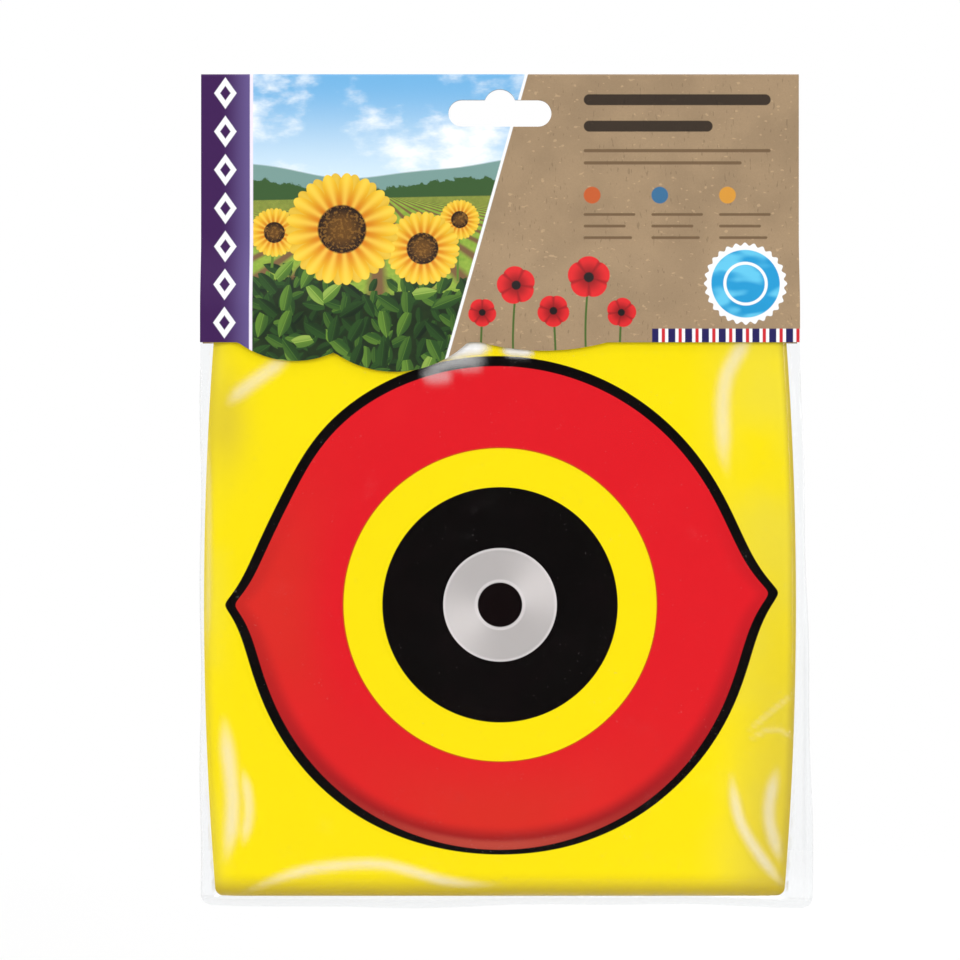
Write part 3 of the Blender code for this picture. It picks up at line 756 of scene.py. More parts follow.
def soft_vinyl(settings):
    """Milky moulded vinyl of the valve and the hanging tab."""
    finish = Finish("moulded_vinyl", Roughness=0.36, IOR=1.5, Subsurface_Weight=0.25,
                    Subsurface_Scale=0.002)
    fine = finish.grain(3200)
    tint = finish.blend(finish.grain(240, 3).ease(0.4, 0.65) * 0.35, settings.colour, tone(204, 205, 194))
    finish.set(Base_Color=tint, Roughness=fine * 0.12 + 0.3, Normal=finish.bump(fine, 0.00003, 0.4))
    return finish.material


def adhesive_finish():
    """Tape and glue: a slightly yellow, half clear film with trapped bubbles."""
    straw = tone(236, 226, 190)
    finish = Finish("adhesive", Base_Color=straw, Roughness=0.3)
    bubbles = finish.grain(900).ease(0.5, 0.68)
    grain = finish.grain(700, 3, stretch=(0.2, 1.0, 1.0))
    finish.set(Base_Color=finish.blend(bubbles * 0.5, straw, tone(250, 248, 236)),
               Roughness=grain * 0.3 + 0.2, Alpha=bubbles * 0.2 + 0.55,
               Normal=finish.bump(grain + bubbles * 0.5, 0.00004, 0.5))
    return finish.material


def add_piece(name, points, faces, materials, marks=None, uv=None, values=None, angle=40):
    """A finished mesh at the origin. marks are the faces' material numbers, values point attributes."""
    mesh = bpy.data.meshes.new(name)
    mesh.from_pydata([tuple(point) for point in points], [], faces)
    for material in materials:
        mesh.materials.append(material)
    if marks is not None:
        mesh.polygons.foreach_set("material_index", marks)
    bm = bmesh.new()
    bm.from_mesh(mesh)
    bmesh.ops.recalc_face_normals(bm, faces=bm.faces)
    bm.to_mesh(mesh)
    bm.free()
    if uv is not None:
        layer = mesh.uv_layers.new(name="Print")
        corners = np.zeros(len(mesh.loops), np.int32)
        mesh.loops.foreach_get("vertex_index", corners)
        layer.data.foreach_set("uv", np.asarray(uv, np.float32)[corners].ravel())
    for key, numbers in (values or {}).items():
        attribute = mesh.attributes.new(key, "FLOAT", "POINT")
        attribute.data.foreach_set("value", np.asarray(numbers, np.float32))
    mesh.shade_smooth()
    mesh.set_sharp_from_angle(angle=math.radians(angle))
    mesh.update()
    piece = bpy.data.objects.new(name, mesh)
    bpy.context.scene.collection.objects.link(piece)
    return piece


def dress(piece, body="pack", node=None):
    """Puts a piece on the body it rides on, and hides the solid it stands for."""
    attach(piece, body)
    if node:
        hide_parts(node)


def grid_faces(rows, columns, start=0, close_rows=False, close_columns=False):
    """Quads between the points of a grid."""
    faces = []
    for row in range(rows if close_rows else rows - 1):
        below = (row + 1) % rows
        for column in range(columns if close_columns else columns - 1):
            after = (column + 1) % columns
            faces.append((start + row * columns + column, start + row * columns + after,
                          start + below * columns + after, start + below * columns + column))
    return faces


def shell(front, back):
    """Closed shell between two grids of points: points, faces and marks 0 front, 1 back, 2 rim."""
    rows, columns = len(front), len(front[0])
    points = [p for row in front for p in row] + [p for row in back for p in row]
    far = rows * columns
    faces = grid_faces(rows, columns)
    marks = [0] * len(faces)
    faces += grid_faces(rows, columns, far)
    marks += [1] * (len(faces) - len(marks))
    rim = list(range(columns)) + [row * columns + columns - 1 for row in range(1, rows)]
    rim += [far - 1 - step for step in range(1, columns)]
    rim += [row * columns for row in range(rows - 2, 0, -1)]
    for near, after in zip(rim, rim[1:] + rim[:1]):
        faces.append((near, near + far, after + far, after))
    marks += [2] * (len(faces) - len(marks))
    return points, faces, marks


def sheet(grid):
    """Closed shell round a grid of middle places (x, y, z), each with its half thickness (y, z)."""
    outer = [[(x, y + off_y, z + off_z) for x, y, z, off_y, off_z in row] for row in grid]
    inner = [[(x, y - off_y, z - off_z) for x, y, z, off_y, off_z in row] for row in grid]
    return shell(outer, inner)


def apply_modifiers(piece):
    """Turns the evaluated piece into a plain mesh and drops its modifiers."""
    graph = bpy.context.evaluated_depsgraph_get()
    mesh = bpy.data.meshes.new_from_object(piece.evaluated_get(graph), depsgraph=graph)
    piece.modifiers.clear()
    old = piece.data
    piece.data = mesh
    bpy.data.meshes.remove(old)
    mesh.name = piece.name


def leaf_y(z, foot_y):
    """Middle of a card leaf off the centre plane: flat at the top, then bent out to the packet."""
    top = math.copysign(leaf_half_gap + board / 2, foot_y)
    return top + (foot_y - top) * float(smooth((bend_top_z - z) / (bend_top_z - bend_bottom_z)))


def card_edge_z(x):
    """Die-cut lower edge of the front leaf, with its three round lobes."""
    level = card_foot_z
    for place, half, drop in card_lobes:
        radius = (half * half + drop * drop) / (2 * drop)
        reach = abs(x - place)
        if reach < half:
            level = min(level, card_foot_z - drop + radius - math.sqrt(radius * radius - reach * reach))
    return level


def slot_outline():
    """Round-ended slot with a round hump in the middle of its upper side, as (x, z) places."""
    end_x = slot_half_span - slot_half_height
    foot = math.asin((slot_half_height - slot_hump_z) / slot_hump_radius)
    outline = []
    for centre_x, centre_z, radius, start, end, steps in (
        (end_x, 0, slot_half_height, -math.pi / 2, math.pi / 2, 16),
        (0, slot_hump_z, slot_hump_radius, foot, math.pi - foot, 20),
        (-end_x, 0, slot_half_height, math.pi / 2, math.pi * 1.5, 16),
    ):
        outline += [(centre_x + radius * math.cos(angle), centre_z + radius * math.sin(angle))
                    for angle in spread(start, end, steps)]
    return outline


def cut_slot(piece):
    """Cuts the hanging slot through a card leaf."""
    outline = slot_outline()
    count, reach = len(outline), 3 * mm
    points = [(x, y, z) for y in (-reach, reach) for x, z in outline]
    faces = [tuple(range(count)), tuple(range(2 * count - 1, count - 1, -1))]
    faces += [(i, (i + 1) % count, (i + 1) % count + count, i + count) for i in range(count)]
    cutter = add_piece("slot_cutter", points, faces, [piece.data.materials[-1]])
    cut = piece.modifiers.new("Slot", "BOOLEAN")
    cut.operation = "DIFFERENCE"
    cut.solver = "EXACT"
    cut.object = cutter
    bpy.context.view_layer.update()
    apply_modifiers(piece)
    bpy.data.objects.remove(cutter)
    piece.data.shade_smooth()
    piece.data.set_sharp_from_angle(angle=math.radians(40))


class MakeCard(bpy.types.Operator):
    """Builds the folded header card: both leaves, the rolled crease and the ply across it."""
    bl_idname = "balloon.card"
    bl_label = "Card"

    columns = 90
    flat_top_z = -14 * mm

    def x_at(self, column):
        return card_half_width * (2 * column / self.columns - 1)

    def front_leaf(self, materials):
        """The front leaf: each column of points runs from the crease to its own place on the lower edge."""
        top = roll_axis_z - crease_gap
        levels = run_through(top, (self.flat_top_z, 1), (bend_top_z, 1), (bend_bottom_z, 16))
        foot_rows, probe = 10, 0.5 * mm
        grid = []
        for row in range(len(levels) + foot_rows):
            line = []
            for column in range(2 * self.columns + 1):
                x = self.x_at(column / 2)
                if row < len(levels):
                    z = levels[row]
                else:
                    share = (row - len(levels) + 1) / foot_rows
                    z = bend_bottom_z + (card_edge_z(x) - bend_bottom_z) * share
                shift = leaf_y(z - probe, front_foot_y) - leaf_y(min(z + probe, top), front_foot_y)
                along = Vector((shift, -2 * probe)).normalized()
                line.append((x, leaf_y(z, front_foot_y), z, along.y * board / 2, -along.x * board / 2))
            grid.append(line)
        points, faces, marks = sheet(grid)
        piece = add_piece("card_front", points, faces, materials, marks)
        cut_slot(piece)
        return piece

    def back_leaf(self, materials):
        """The back leaf with the rolled crease that the fold leaves along its top."""
        roll, turns = leaf_half_gap + board / 2, 14
        path = [(roll * math.cos(turn), roll_axis_z + roll * math.sin(turn))
                for turn in spread(math.pi, 0, turns)]
        path += [(leaf_y(z, back_foot_y), z) for z in run_through(
            self.flat_top_z, (bend_top_z, 1), (bend_bottom_z, 16), (card_foot_z, 1))]
        grid = []
        for (y, z), before, after in zip(path, path[:1] + path, path[1:] + path[-1:]):
            along = Vector((after[0] - before[0], after[1] - before[1])).normalized()
            grid.append([(self.x_at(c), y, z, -along.y * board / 2, along.x * board / 2)
                         for c in range(self.columns + 1)])
        points, faces, marks = sheet(grid)
        printed = turns // 2 * self.columns
        marks[:printed] = [3] * printed
        piece = add_piece("card_back", points, faces, materials, marks)
        cut_slot(piece)
        return piece

    def crease_ply(self, materials):
        """The outer ply across the crease where the front leaf lifts, made as a flat strip."""
        front_y = -leaf_half_gap - board - 0.004 * mm
        overlap, ply = 0.35 * mm, 0.09 * mm
        heights = spread(roll_axis_z + overlap, roll_axis_z - crease_gap - overlap, 12)
        outer, inner = ([[(self.x_at(c), y, z) for c in range(self.columns + 1)] for z in heights]
                        for y in (front_y, front_y + ply))
        points, faces, marks = shell(outer, inner)
        return add_piece("card_crease", points, faces, materials, marks)

    def execute(self, context):
        settings = context.scene.card_settings
        front = card_print(settings)
        back = card_back_print(settings)
        inside = plain_board(settings, "bare_board", 1.0)
        edge = plain_board(settings, "board_edge", 1.25)
        dress(self.front_leaf([front, inside, edge]), "front_leaf", "header_front")
        dress(self.back_leaf([back, inside, edge, front]), "pack", "header_back")
        ply = self.crease_ply([front, inside, edge])
        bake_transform(ply)
        return {"FINISHED"}


def bend_line(line, steps):
    """A smooth line through the given places."""
    places = [Vector(p) for p in line]
    places = [places[0] * 2 - places[1]] + places + [places[-1] * 2 - places[-2]]
    fine = []
    for index in range(1, len(places) - 2):
        a, b, c, d = places[index - 1:index + 3]
        for step in range(steps):
            t = step / steps
            fine.append((b * 2 + (c - a) * t + (a * 2 - b * 5 + c * 4 - d) * t * t
                         + (b * 3 - a - c * 3 + d) * t * t * t) / 2)
    fine.append(places[-2])
    return fine


def grow(piece, group, values):
    """Runs a geometry tree on a piece with named values, and keeps the result as a plain mesh."""
    modifier = piece.modifiers.new(group.name, "NODES")
    modifier.node_group = group
    for item in group.interface.items_tree:
        if item.in_out == "INPUT" and item.name in values:
            modifier[item.identifier] = values[item.name]
    bpy.context.view_layer.update()
    apply_modifiers(piece)


def gore_half_width(along):
    """Half the gore's width at a distance along it from the middle of its eye."""
    along = abs(along)
    if along < run_half:
        return gore_half_width_full - side_sag * (along / run_half) ** 2
    share = min((along - run_half) / (gore_half_length - run_half), 1)
    fold_width = gore_half_width_full - side_sag
    return fold_width * math.cos(share * math.pi / 2) + tip_width / 2 * float(smooth(share))


def gather_at(y, edge):
    """How far a sheet of the stack is pulled towards the welded rim, at a distance from its side."""
    share, reach = 0.55, 4.2 * mm
    return (y - stack_middle_y) * share * float(smooth(1 - edge / reach))


def puff_at(x, z, height):
    """How far the air in the packet lifts its front, nothing near its folds, its sides and the card."""
    x, z = np.asarray(x, float), np.asarray(z, float)
    fade = smooth((-80 * mm - z) / (26 * mm)) * smooth((z - lower_axis_z) / (22 * mm))
    fade = fade * smooth((86 * mm - np.abs(x)) / (24 * mm))
    waves = 0.55 + 0.25 * np.sin(x / (19 * mm) + 0.6) * np.cos(z / (27 * mm) + 0.3)
    waves = waves + 0.20 * np.sin(x / (11 * mm) - z / (16 * mm))
    return height * fade * waves


def gore_stations(y, fine):
    """Places down a folded gore: y, z, outward normal, run along the print and share of puff."""
    upper_radius, lower_radius = upper_fold_y - y, -y
    upper_start, lower_start = upper_axis_z - eye_z, eye_z - lower_axis_z
    upper_tail = gore_half_length - upper_start - math.pi * upper_radius
    lower_tail = gore_half_length - lower_start - math.pi * lower_radius
    steps = (56, 14, 84, 16, 60) if fine else (30, 10, 30, 12, 30)
    places = []
    for reach in spread(upper_tail, 0, steps[0])[:-1]:
        along = upper_start + math.pi * upper_radius + reach
        places.append((upper_fold_y + upper_radius, upper_axis_z - reach, 1.0, 0.0, along, 0.0))
    for turn in spread(0, math.pi, steps[1])[:-1]:
        out_y, out_z = math.cos(turn), math.sin(turn)
        along = upper_start + upper_radius * (math.pi - turn)
        places.append((upper_fold_y + upper_radius * out_y, upper_axis_z + upper_radius * out_z,
                       out_y, out_z, along, 0.0))
    for reach in spread(upper_start, -lower_start, steps[2])[:-1]:
        places.append((y, eye_z + reach, -1.0, 0.0, reach, 1.0))
    for turn in spread(math.pi, 2 * math.pi, steps[3])[:-1]:
        out_y, out_z = math.cos(turn), math.sin(turn)
        along = lower_start + lower_radius * (turn - math.pi)
        places.append((lower_radius * out_y, lower_axis_z + lower_radius * out_z, out_y, out_z, -along, 0.0))
    for reach in spread(0, lower_tail, steps[4]):
        along = lower_start + math.pi * lower_radius + reach
        places.append((-y, lower_axis_z + reach, 1.0, 0.0, -along, 0.0))
    return places


def corner_dip(z, fold_z):
    """How much the rounded corner at a fold takes off the half width."""
    share = 1 - min(abs(z - fold_z) / fold_corner, 1)
    return fold_corner * (1 - math.sqrt(1 - share * share))


class MakeGores(bpy.types.Operator):
    """Builds the six gores of the ball as folded sheets, with the printed eye on each."""
    bl_idname = "balloon.gores"
    bl_label = "Gores"

    def gore(self, number, materials, puff):
        y = layer_y[number]
        fine = number == 1
        columns = 84 if fine else 36
        grid, uv, rim = [], [], []
        for centre_y, z, out_y, out_z, along, lift in gore_stations(y, fine):
            half = gore_half_width(along) - max(corner_dip(z, packet_top_z), corner_dip(z, packet_bottom_z))
            line = []
            for column in range(columns + 1):
                t = 2 * column / columns - 1
                x = half * (0.62 * t + 0.38 * math.sin(t * math.pi / 2))
                edge = half - abs(x)
                gather = gather_at(y, edge)
                level = centre_y + out_y * gather - lift * float(puff_at(x, z, puff))
                line.append((x, level, z + out_z * gather * 0.2, out_y * skin / 2, out_z * skin / 2))
                uv.append((x, along))
                rim.append(edge / mm)
            grid.append(line)
        points, faces, marks = sheet(grid)
        printed = 0 if number in (1, 3, 5) else 1
        marks = [0 if mark == printed else 1 for mark in marks]
        name = "vinyl_gore_" + str(number)
        piece = add_piece(name, points, faces, materials, marks, uv + uv, {"rim": rim + rim})
        dress(piece, node="gore_" + str(number))

    def execute(self, context):
        settings = context.scene.balloon_settings
        materials = [vinyl_print(settings), plain_vinyl(settings)]
        for number in layer_y:
            self.gore(number, materials, settings.puff)
        return {"FINISHED"}


class MakeCaps(bpy.types.Operator):
    """Builds the round cap folded over the gore tips at each pole."""
    bl_idname = "balloon.caps"
    bl_label = "Pole caps"

    def cap(self, name, node, side, material):
        low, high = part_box(node)
        radius = 20 * mm
        roll = (high.y - low.y - skin) / 2
        middle_y = (low.y + high.y) / 2
        tip_z = (high.z if side < 0 else low.z) + side * (roll + skin / 2)
        quarter = roll * math.pi / 2
        grid, rim = [], []
        last = math.pi * 0.485
        for angle in spread(-last, last, 44):
            along, half = radius * math.sin(angle), radius * math.cos(angle)
            if abs(along) < quarter:
                out_y, out_z = math.sin(along / roll), -side * math.cos(along / roll)
                z = tip_z + roll * out_z
            else:
                out_y, out_z = math.copysign(1, along), 0
                z = tip_z + side * (abs(along) - quarter)
            row = spread(-half, half, 24)
            grid.append([(x, middle_y + roll * out_y, z, out_y * skin / 2, out_z * skin / 2) for x in row])
            rim += [(radius - math.hypot(x, along)) / mm for x in row]
        points, faces, _ = sheet(grid)
        piece = add_piece(name, points, faces, [material], values={"rim": rim + rim})
        dress(piece, node=node)

    def execute(self, context):
        material = bpy.data.materials["plain_vinyl"]
        self.cap("cap_at_base", "pole_cap_base", 1, material)
        self.cap("cap_at_top", "pole_cap_top", -1, material)
        return {"FINISHED"}


def turned(profile, centre, sides, axis):
    """Closed ring of (along, radius) points turned about an axis along X or Y through a centre."""
    points = []
    for along, radius in profile:
        for step in range(sides):
            turn = 2 * math.pi * step / sides
            across, up = radius * math.cos(turn), radius * math.sin(turn)
            offset = (along, across, up) if axis == "X" else (across, along, up)
            points.append(tuple(c + o for c, o in zip(centre, offset)))
    return points


def capped_turn(profile, centre, sides, axis):
    """A turned solid whose first and last points lie on the axis."""
    body = turned(profile[1:-1], centre, sides, axis)
    faces = grid_faces(len(profile) - 2, sides, 0, False, True)
    for place, ring in ((profile[0], 0), (profile[-1], len(profile) - 3)):
        tip = len(body)
        body += turned([place], centre, 1, axis)
        faces += [(ring * sides + s, ring * sides + (s + 1) % sides, tip) for s in range(sides)]
    return body, faces


def measured(start, *pairs):
    """A profile given in mm: how far along from the start, and how far from the axis."""
    return [(start + along * mm, radius * mm) for along, radius in pairs]


def merge(parts):
    """Joins (points, faces) lists into one."""
    points, faces = [], []
    for more, rings in parts:
        start = len(points)
        points += list(more)
        faces += [tuple(start + index for index in ring) for ring in rings]
    return points, faces


class MakeDiscs(bpy.types.Operator):
    """Builds the reflective pupil disc on each gore."""
    bl_idname = "balloon.discs"
    bl_label = "Foil discs"

    def execute(self, context):
        settings = context.scene.balloon_settings
        material = foil_finish(settings)
        radius, edge = settings.foil_radius, 0.03 * mm
        steps = [radius * share for share in (0.1, 0.25, 0.4, 0.55, 0.7, 0.85, 0.95)]
        for number in range(1, 7):
            node = "foil_disc_" + str(number)
            low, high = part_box(node)
            profile = [(low.y, reach) for reach in (0, *steps, radius - edge)]
            profile += [(low.y + edge, radius), (high.y - edge, radius)]
            profile += [(high.y, reach) for reach in (radius - edge, *reversed(steps), 0)]
            points, faces = capped_turn(profile, (0, 0, eye_z), 96, "Y")
            points = [(x, y - float(puff_at(x, z, settings.puff)), z) for x, y, z in points]
            dress(add_piece("pupil_" + node, points, faces, [material]), node=node)
        return {"FINISHED"}


class MakeWelds(bpy.types.Operator):
    """Builds the ribs that the welding presses into the welds of the outer tail, which faces backwards."""
    bl_idname = "balloon.welds"
    bl_label = "Weld ribs"

    def tree(self):
        group = bpy.data.node_groups.new("weld_ribs", "GeometryNodeTree")
        face = group.interface
        for name, side, kind in (
            ("Geometry", "INPUT", "Geometry"), ("Pitch", "INPUT", "Float"), ("Rib length", "INPUT", "Float"),
            ("Rib radius", "INPUT", "Float"), ("Material", "INPUT", "Material"),
            ("Geometry", "OUTPUT", "Geometry"),
        ):
            face.new_socket(name, in_out=side, socket_type="NodeSocket" + kind)
        sketch = Sketch(group)
        add = sketch.node
        given = sketch.outputs(add("NodeGroupInput"))
        curve = add("GeometryNodeMeshToCurve", {"Mesh": given["Geometry"]})
        spots = sketch.outputs(add("GeometryNodeCurveToPoints", {"Curve": curve, "Length": given["Pitch"]},
                                   mode="LENGTH"))
        tx, _, tz = sketch.split(spots["Tangent"])
        rib = add("GeometryNodeMeshCylinder",
                  {"Vertices": 8, "Radius": given["Rib radius"], "Depth": given["Rib length"]}, "Mesh")
        rotation = sketch.join(0, -tz.arctan2(tx), 0)
        laid = add("GeometryNodeInstanceOnPoints",
                   {"Points": spots["Points"], "Instance": rib, "Rotation": rotation})
        ribs = add("GeometryNodeRealizeInstances", {"Geometry": laid})
        ribs = add("GeometryNodeSetMaterial", {"Geometry": ribs, "Material": given["Material"]})
        leave = group.nodes.new("NodeGroupOutput")
        group.links.new(ribs.socket, leave.inputs[0])
        return group

    def execute(self, context):
        settings = context.scene.balloon_settings
        inset = 2.1 * mm
        points, edges = [], []
        back_y = -layer_y[1] + gather_at(layer_y[1], inset) + skin / 2
        tail = gore_stations(layer_y[1], True)[-60:]
        for side in (-1, 1):
            start = len(points)
            points += [(side * (gore_half_width(along) - inset), back_y, z) for _, z, _, _, along, _ in tail]
            edges += [(start + i, start + i + 1) for i in range(len(tail) - 1)]
        mesh = bpy.data.meshes.new("weld_ribs")
        mesh.from_pydata(points, edges, [])
        piece = bpy.data.objects.new("weld_ribs", mesh)
        context.scene.collection.objects.link(piece)
        values = {"Pitch": settings.weld_pitch, "Rib length": 3.0 * mm, "Rib radius": 0.14 * mm,
                  "Material": bpy.data.materials["plain_vinyl"]}
        grow(piece, self.tree(), values)
        piece.data.shade_smooth()
        piece.data.set_sharp_from_angle(angle=math.radians(60))
        dress(piece)
        return {"FINISHED"}


class MakeTab(bpy.types.Operator):
    """Builds the hanging tab at the ball's top pole."""
    bl_idname = "balloon.tab"
    bl_label = "Hanging tab"

    def execute(self, context):
        low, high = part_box("hang_tab")
        half = (high.x - low.x) / 2
        hole_z, hole = low.z + half, 4.0 * mm
        edge, bead = 0.14 * mm, 0.1 * mm
        middle, thick = (low.y + high.y) / 2, (high.y - low.y) / 2
        sides = 96
        points = []
        # Share of the way from the hole to the rim, its offset, how far the face sinks, and its side
        profile = ((0, edge, 0, -1), (0, 0, edge, -1), (0, 0, edge, 1), (0, edge, 0, 1), (0.12, 0, 0, 1),
                   (0.22, 0, -bead, 1), (0.32, 0, -bead, 1), (0.42, 0, 0, 1), (1, -edge, 0, 1),
                   (1, 0, edge, 1), (1, 0, edge, -1), (1, -edge, 0, -1))
        for share, offset, sink, face in profile:
            for step in range(sides):
                turn = 2 * math.pi * (step + 0.5) / sides
                dx, dz = math.cos(turn), math.sin(turn)
                reach = half
                if dz > 0:
                    reach = min(half / max(abs(dx), 1e-6), (high.z - hole_z) / max(dz, 1e-6))
                away = hole + (reach - hole) * share + offset
                points.append((away * dx, middle + face * (thick - sink), hole_z + away * dz))
        faces = grid_faces(len(profile), sides, 0, True, True)
        piece = add_piece("hanging_tab", points, faces, [bpy.data.materials["moulded_vinyl"]])
        dress(piece, node="hang_tab")
        return {"FINISHED"}


class MakeValve(bpy.types.Operator):
    """Builds the valve with its bent stem and peg, the check flap and the stopper on its strap."""
    bl_idname = "balloon.valve"
    bl_label = "Valve and stopper"

    def stem_ring(self, radius, turn, beyond, sides):
        """A round section of the stem after it has bent by this angle and run on this far."""
        ring = []
        for step in range(sides):
            a = 2 * math.pi * step / sides
            reach = stem_bend - radius * math.cos(a)
            ring.append((stem_bend - reach * math.cos(turn) + beyond,
                         stem_y - stem_bend + reach * math.sin(turn), valve_z + radius * math.sin(a)))
        return ring

    def body(self, sides):
        """Flange with two grooves, the stem's outside, its lip, and the bore back down inside."""
        flange = measured(
            flange_y, (0, 1.8), (0, 3), (0, 11.8), (0.1, 12), (0.4, 12), (0.55, 11.75), (0.6, 11.3),
            (0.6, 10.2), (0.45, 9.9), (0.45, 9.3), (0.6, 9), (0.6, 8.4), (0.45, 8.1), (0.45, 7.5),
            (0.6, 7.2), (0.6, 4), (0.68, 3.4), (0.9, 3))
        lip = measured(mouth_x - stem_bend, (-1.3, 2.8), (-1.1, 3.05), (-0.2, 3.05), (0, 2.85), (0, 1.95),
                       (-0.15, 1.8))
        rings = [(stem_radius, turn, 0) for turn in spread(0.12, math.pi / 2, 12)]
        rings += [(radius, math.pi / 2, beyond) for beyond, radius in lip]
        rings += [(bore_radius, turn, 0) for turn in spread(math.pi / 2, 0, 12)]
        points = turned(flange, (0, 0, valve_z), sides, "Y")
        for ring in rings:
            points += self.stem_ring(*ring, sides)
        return points, grid_faces(len(points) // sides, sides, 0, True, True)

    def peg(self):
        profile = measured(stem_y, (-4.1, 0), (-4.1, 1.7), (-3.6, 1.7), (-1.05, 1.7), (-0.9, 1.55), (-0.9, 1),
                           (0.9, 1), (0.9, 1.6), (1.02, 1.7), (1.25, 1.6), (1.45, 1.1), (1.5, 0))
        return capped_turn(profile, (peg_x, 0, peg_z), 32, "Y")

    def stopper(self, sides):
        """The plug with its grooved head, the eye round the peg, and the strap between them."""
        start = mouth_x + 0.3 * mm
        profile = measured(
            start, (-3.5, 0), (-3.5, 0.8), (-3.35, 1), (0, 1.4), (0, 3.2), (0.12, 3.4), (0.4, 3.35),
            (0.62, 2.5), (0.8, 2.3), (0.98, 2.5), (1.2, 3.35), (1.48, 3.4), (1.6, 3.2), (1.6, 1.2),
            (1.45, 0.9), (1.45, 0))
        plug = capped_turn(profile, (0, stem_y, valve_z), sides, "X")
        ring = measured(0, (-0.6, 1.42), (-0.6, 2.28), (-0.48, 2.4), (0.48, 2.4), (0.6, 2.28), (0.6, 1.42),
                        (0.48, 1.3), (-0.48, 1.3))
        eye = (turned(ring, (peg_x, stem_y, peg_z), 48, "Y"), grid_faces(len(ring), 48, 0, True, True))
        first = Vector((peg_x + 1.2 * mm, peg_z + 1.2 * mm))
        last = Vector((start + 1.2 * mm, valve_z - 2.3 * mm))
        along = (last - first).normalized()
        across = Vector((-along.y, along.x))
        stations = 13
        points = []
        for place in spread(0, 1, stations - 1):
            middle = first.lerp(last, place)
            width = (0.7 - 0.12 * math.sin(place * math.pi)) * mm
            for a, b in ((-1, -0.75), (-0.75, -1), (0.75, -1), (1, -0.75), (1, 0.75), (0.75, 1), (-0.75, 1),
                         (-1, 0.75)):
                spot = middle + across * a * width
                points.append((spot.x, stem_y + b * 0.6 * mm, spot.y))
        faces = grid_faces(stations, 8, 0, False, True)
        faces += [tuple(range(8)), tuple(range(8 * stations - 8, 8 * stations))]
        return merge([plug, eye, (points, faces)])

    def execute(self, context):
        settings = context.scene.valve_settings
        material = soft_vinyl(settings)
        body = merge([self.body(settings.sides), self.peg()])
        profile = measured(flange_y, (0, 0), (0, 1.4), (0.05, 1.5), (0.25, 1.5), (0.3, 1.4), (0.22, 0.7),
                           (0.28, 0))
        flap = capped_turn(profile, (0, 0, valve_z), 32, "Y")
        for name, (points, faces), angle, rides_on, node in (
            ("valve", body, 50, "pack", "valve_body"), ("check_flap", flap, 40, "pack", "valve_flap"),
            ("stopper_and_strap", self.stopper(settings.sides), 50, "stopper", "valve_stopper"),
        ):
            dress(add_piece(name, points, faces, [material], angle=angle), rides_on, node)
        return {"FINISHED"}


class MakeAdhesive(bpy.types.Operator):
    """Finishes the tape and the two glue dots that hold the bag to the card."""
    bl_idname = "balloon.adhesive"
    bl_label = "Tape and glue"

    def execute(self, context):
        material = adhesive_finish()
        for node in ("tape_strip", "glue_dot_left", "glue_dot_right"):
            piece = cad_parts[node]
            piece.data.materials.clear()
            piece.data.materials.append(material)
        return {"FINISHED"}


def front_creases():
    """Creases of the front film: places (x, z) in mm, height share, half width in mm, and how much painted
    highlight each gets.
    """
    return (
        (((80, -61), (74.9, -72.2), (72.3, -76.9), (70.1, -81.7), (69, -87.8), (68.8, -94.3), (69, -100.8),
          (69.3, -107.3), (71, -114)), 0.5, 2.1, 0.80),
        (((-64, -75), (-69, -78.4), (-75.8, -83.2), (-81.3, -87.5), (-85.5, -91.6)), 0.4, 1.9, 0.80),
        (((-82.5, -242.8), (-76.8, -240.4), (-69.6, -237.4), (-61.7, -234.9), (-53.1, -233.3),
          (-42.7, -232.5), (-34.8, -232.9), (-27.5, -234.7), (-19.5, -237.2), (-10.3, -238.6), (3, -239.2)),
         0.5, 1.35, 0.88),
        (((-85.6, -185), (-84.9, -191), (-84.3, -197.3), (-83.3, -205.2), (-82.7, -213), (-83, -220.8),
          (-84, -227), (-85.6, -234)), 0.5, 2.0, 0.9),
        (((-79.8, -202), (-78.1, -210.4), (-77.6, -215.6), (-78.1, -220.2), (-79.8, -228)), 0.4, 1.4, 0.75),
        (((71.4, -203), (72.4, -211.6), (73.8, -218), (76, -223), (79.5, -228.7), (83.1, -233.6),
          (88.8, -241)), 0.5, 1.5, 0.92),
        (((86.2, -201), (83.6, -211.7), (83.2, -218), (84.3, -223.7), (87.2, -233.5)), 0.4, 1.7, 0.85),
        (((92, -179), (83.1, -186.1), (75.5, -192.5)), 0.25, 0.7, 0.28),
        (((76, -194.6), (84.5, -190.8), (92, -194.4)), 0.25, 0.7, 0.28),
        (((-90.6, -92), (-90, -130), (-90.6, -172)), 0.1, 0.8, 0.30),
        # No height in these five: only painted highlight, a glare on the film just under the card
        (((-25.5, -80.9), (-21, -79.0), (-16, -77.3), (-10, -76.6), (-3, -76.6)), 0.0, 2.4, 0.90),
        (((-21, -75.6), (-14, -73.6), (-8, -72.6), (-2, -72.2)), 0.0, 2.3, 3.2),
        (((0, -73.6), (5.5, -74.0), (11, -74.3)), 0.0, 1.4, 2.4),
        (((-25, -80.6), (-19.4, -81.7), (-14, -80.6)), 0.0, 2.3, 0.62),
        (((-14, -79.2), (-9.3, -79.0), (-4.5, -78.6)), 0.0, 1.6, 0.40),
    )


def margin_lines():
    """Upright lines beside the packet, given as the creases are: each raises the film and greys it with
    painted shade.
    """
    return (
        (((94.0, -140), (94.4, -180), (94.2, -215), (94.4, -256)), 1.0, 0.9, 1.0),
        (((91.6, -165), (91.2, -205), (90.2, -250)), 0.7, 0.7, 0.45),
        (((-93.6, -190), (-93.0, -225), (-92.4, -256)), 0.7, 0.9, 0.60),
    )


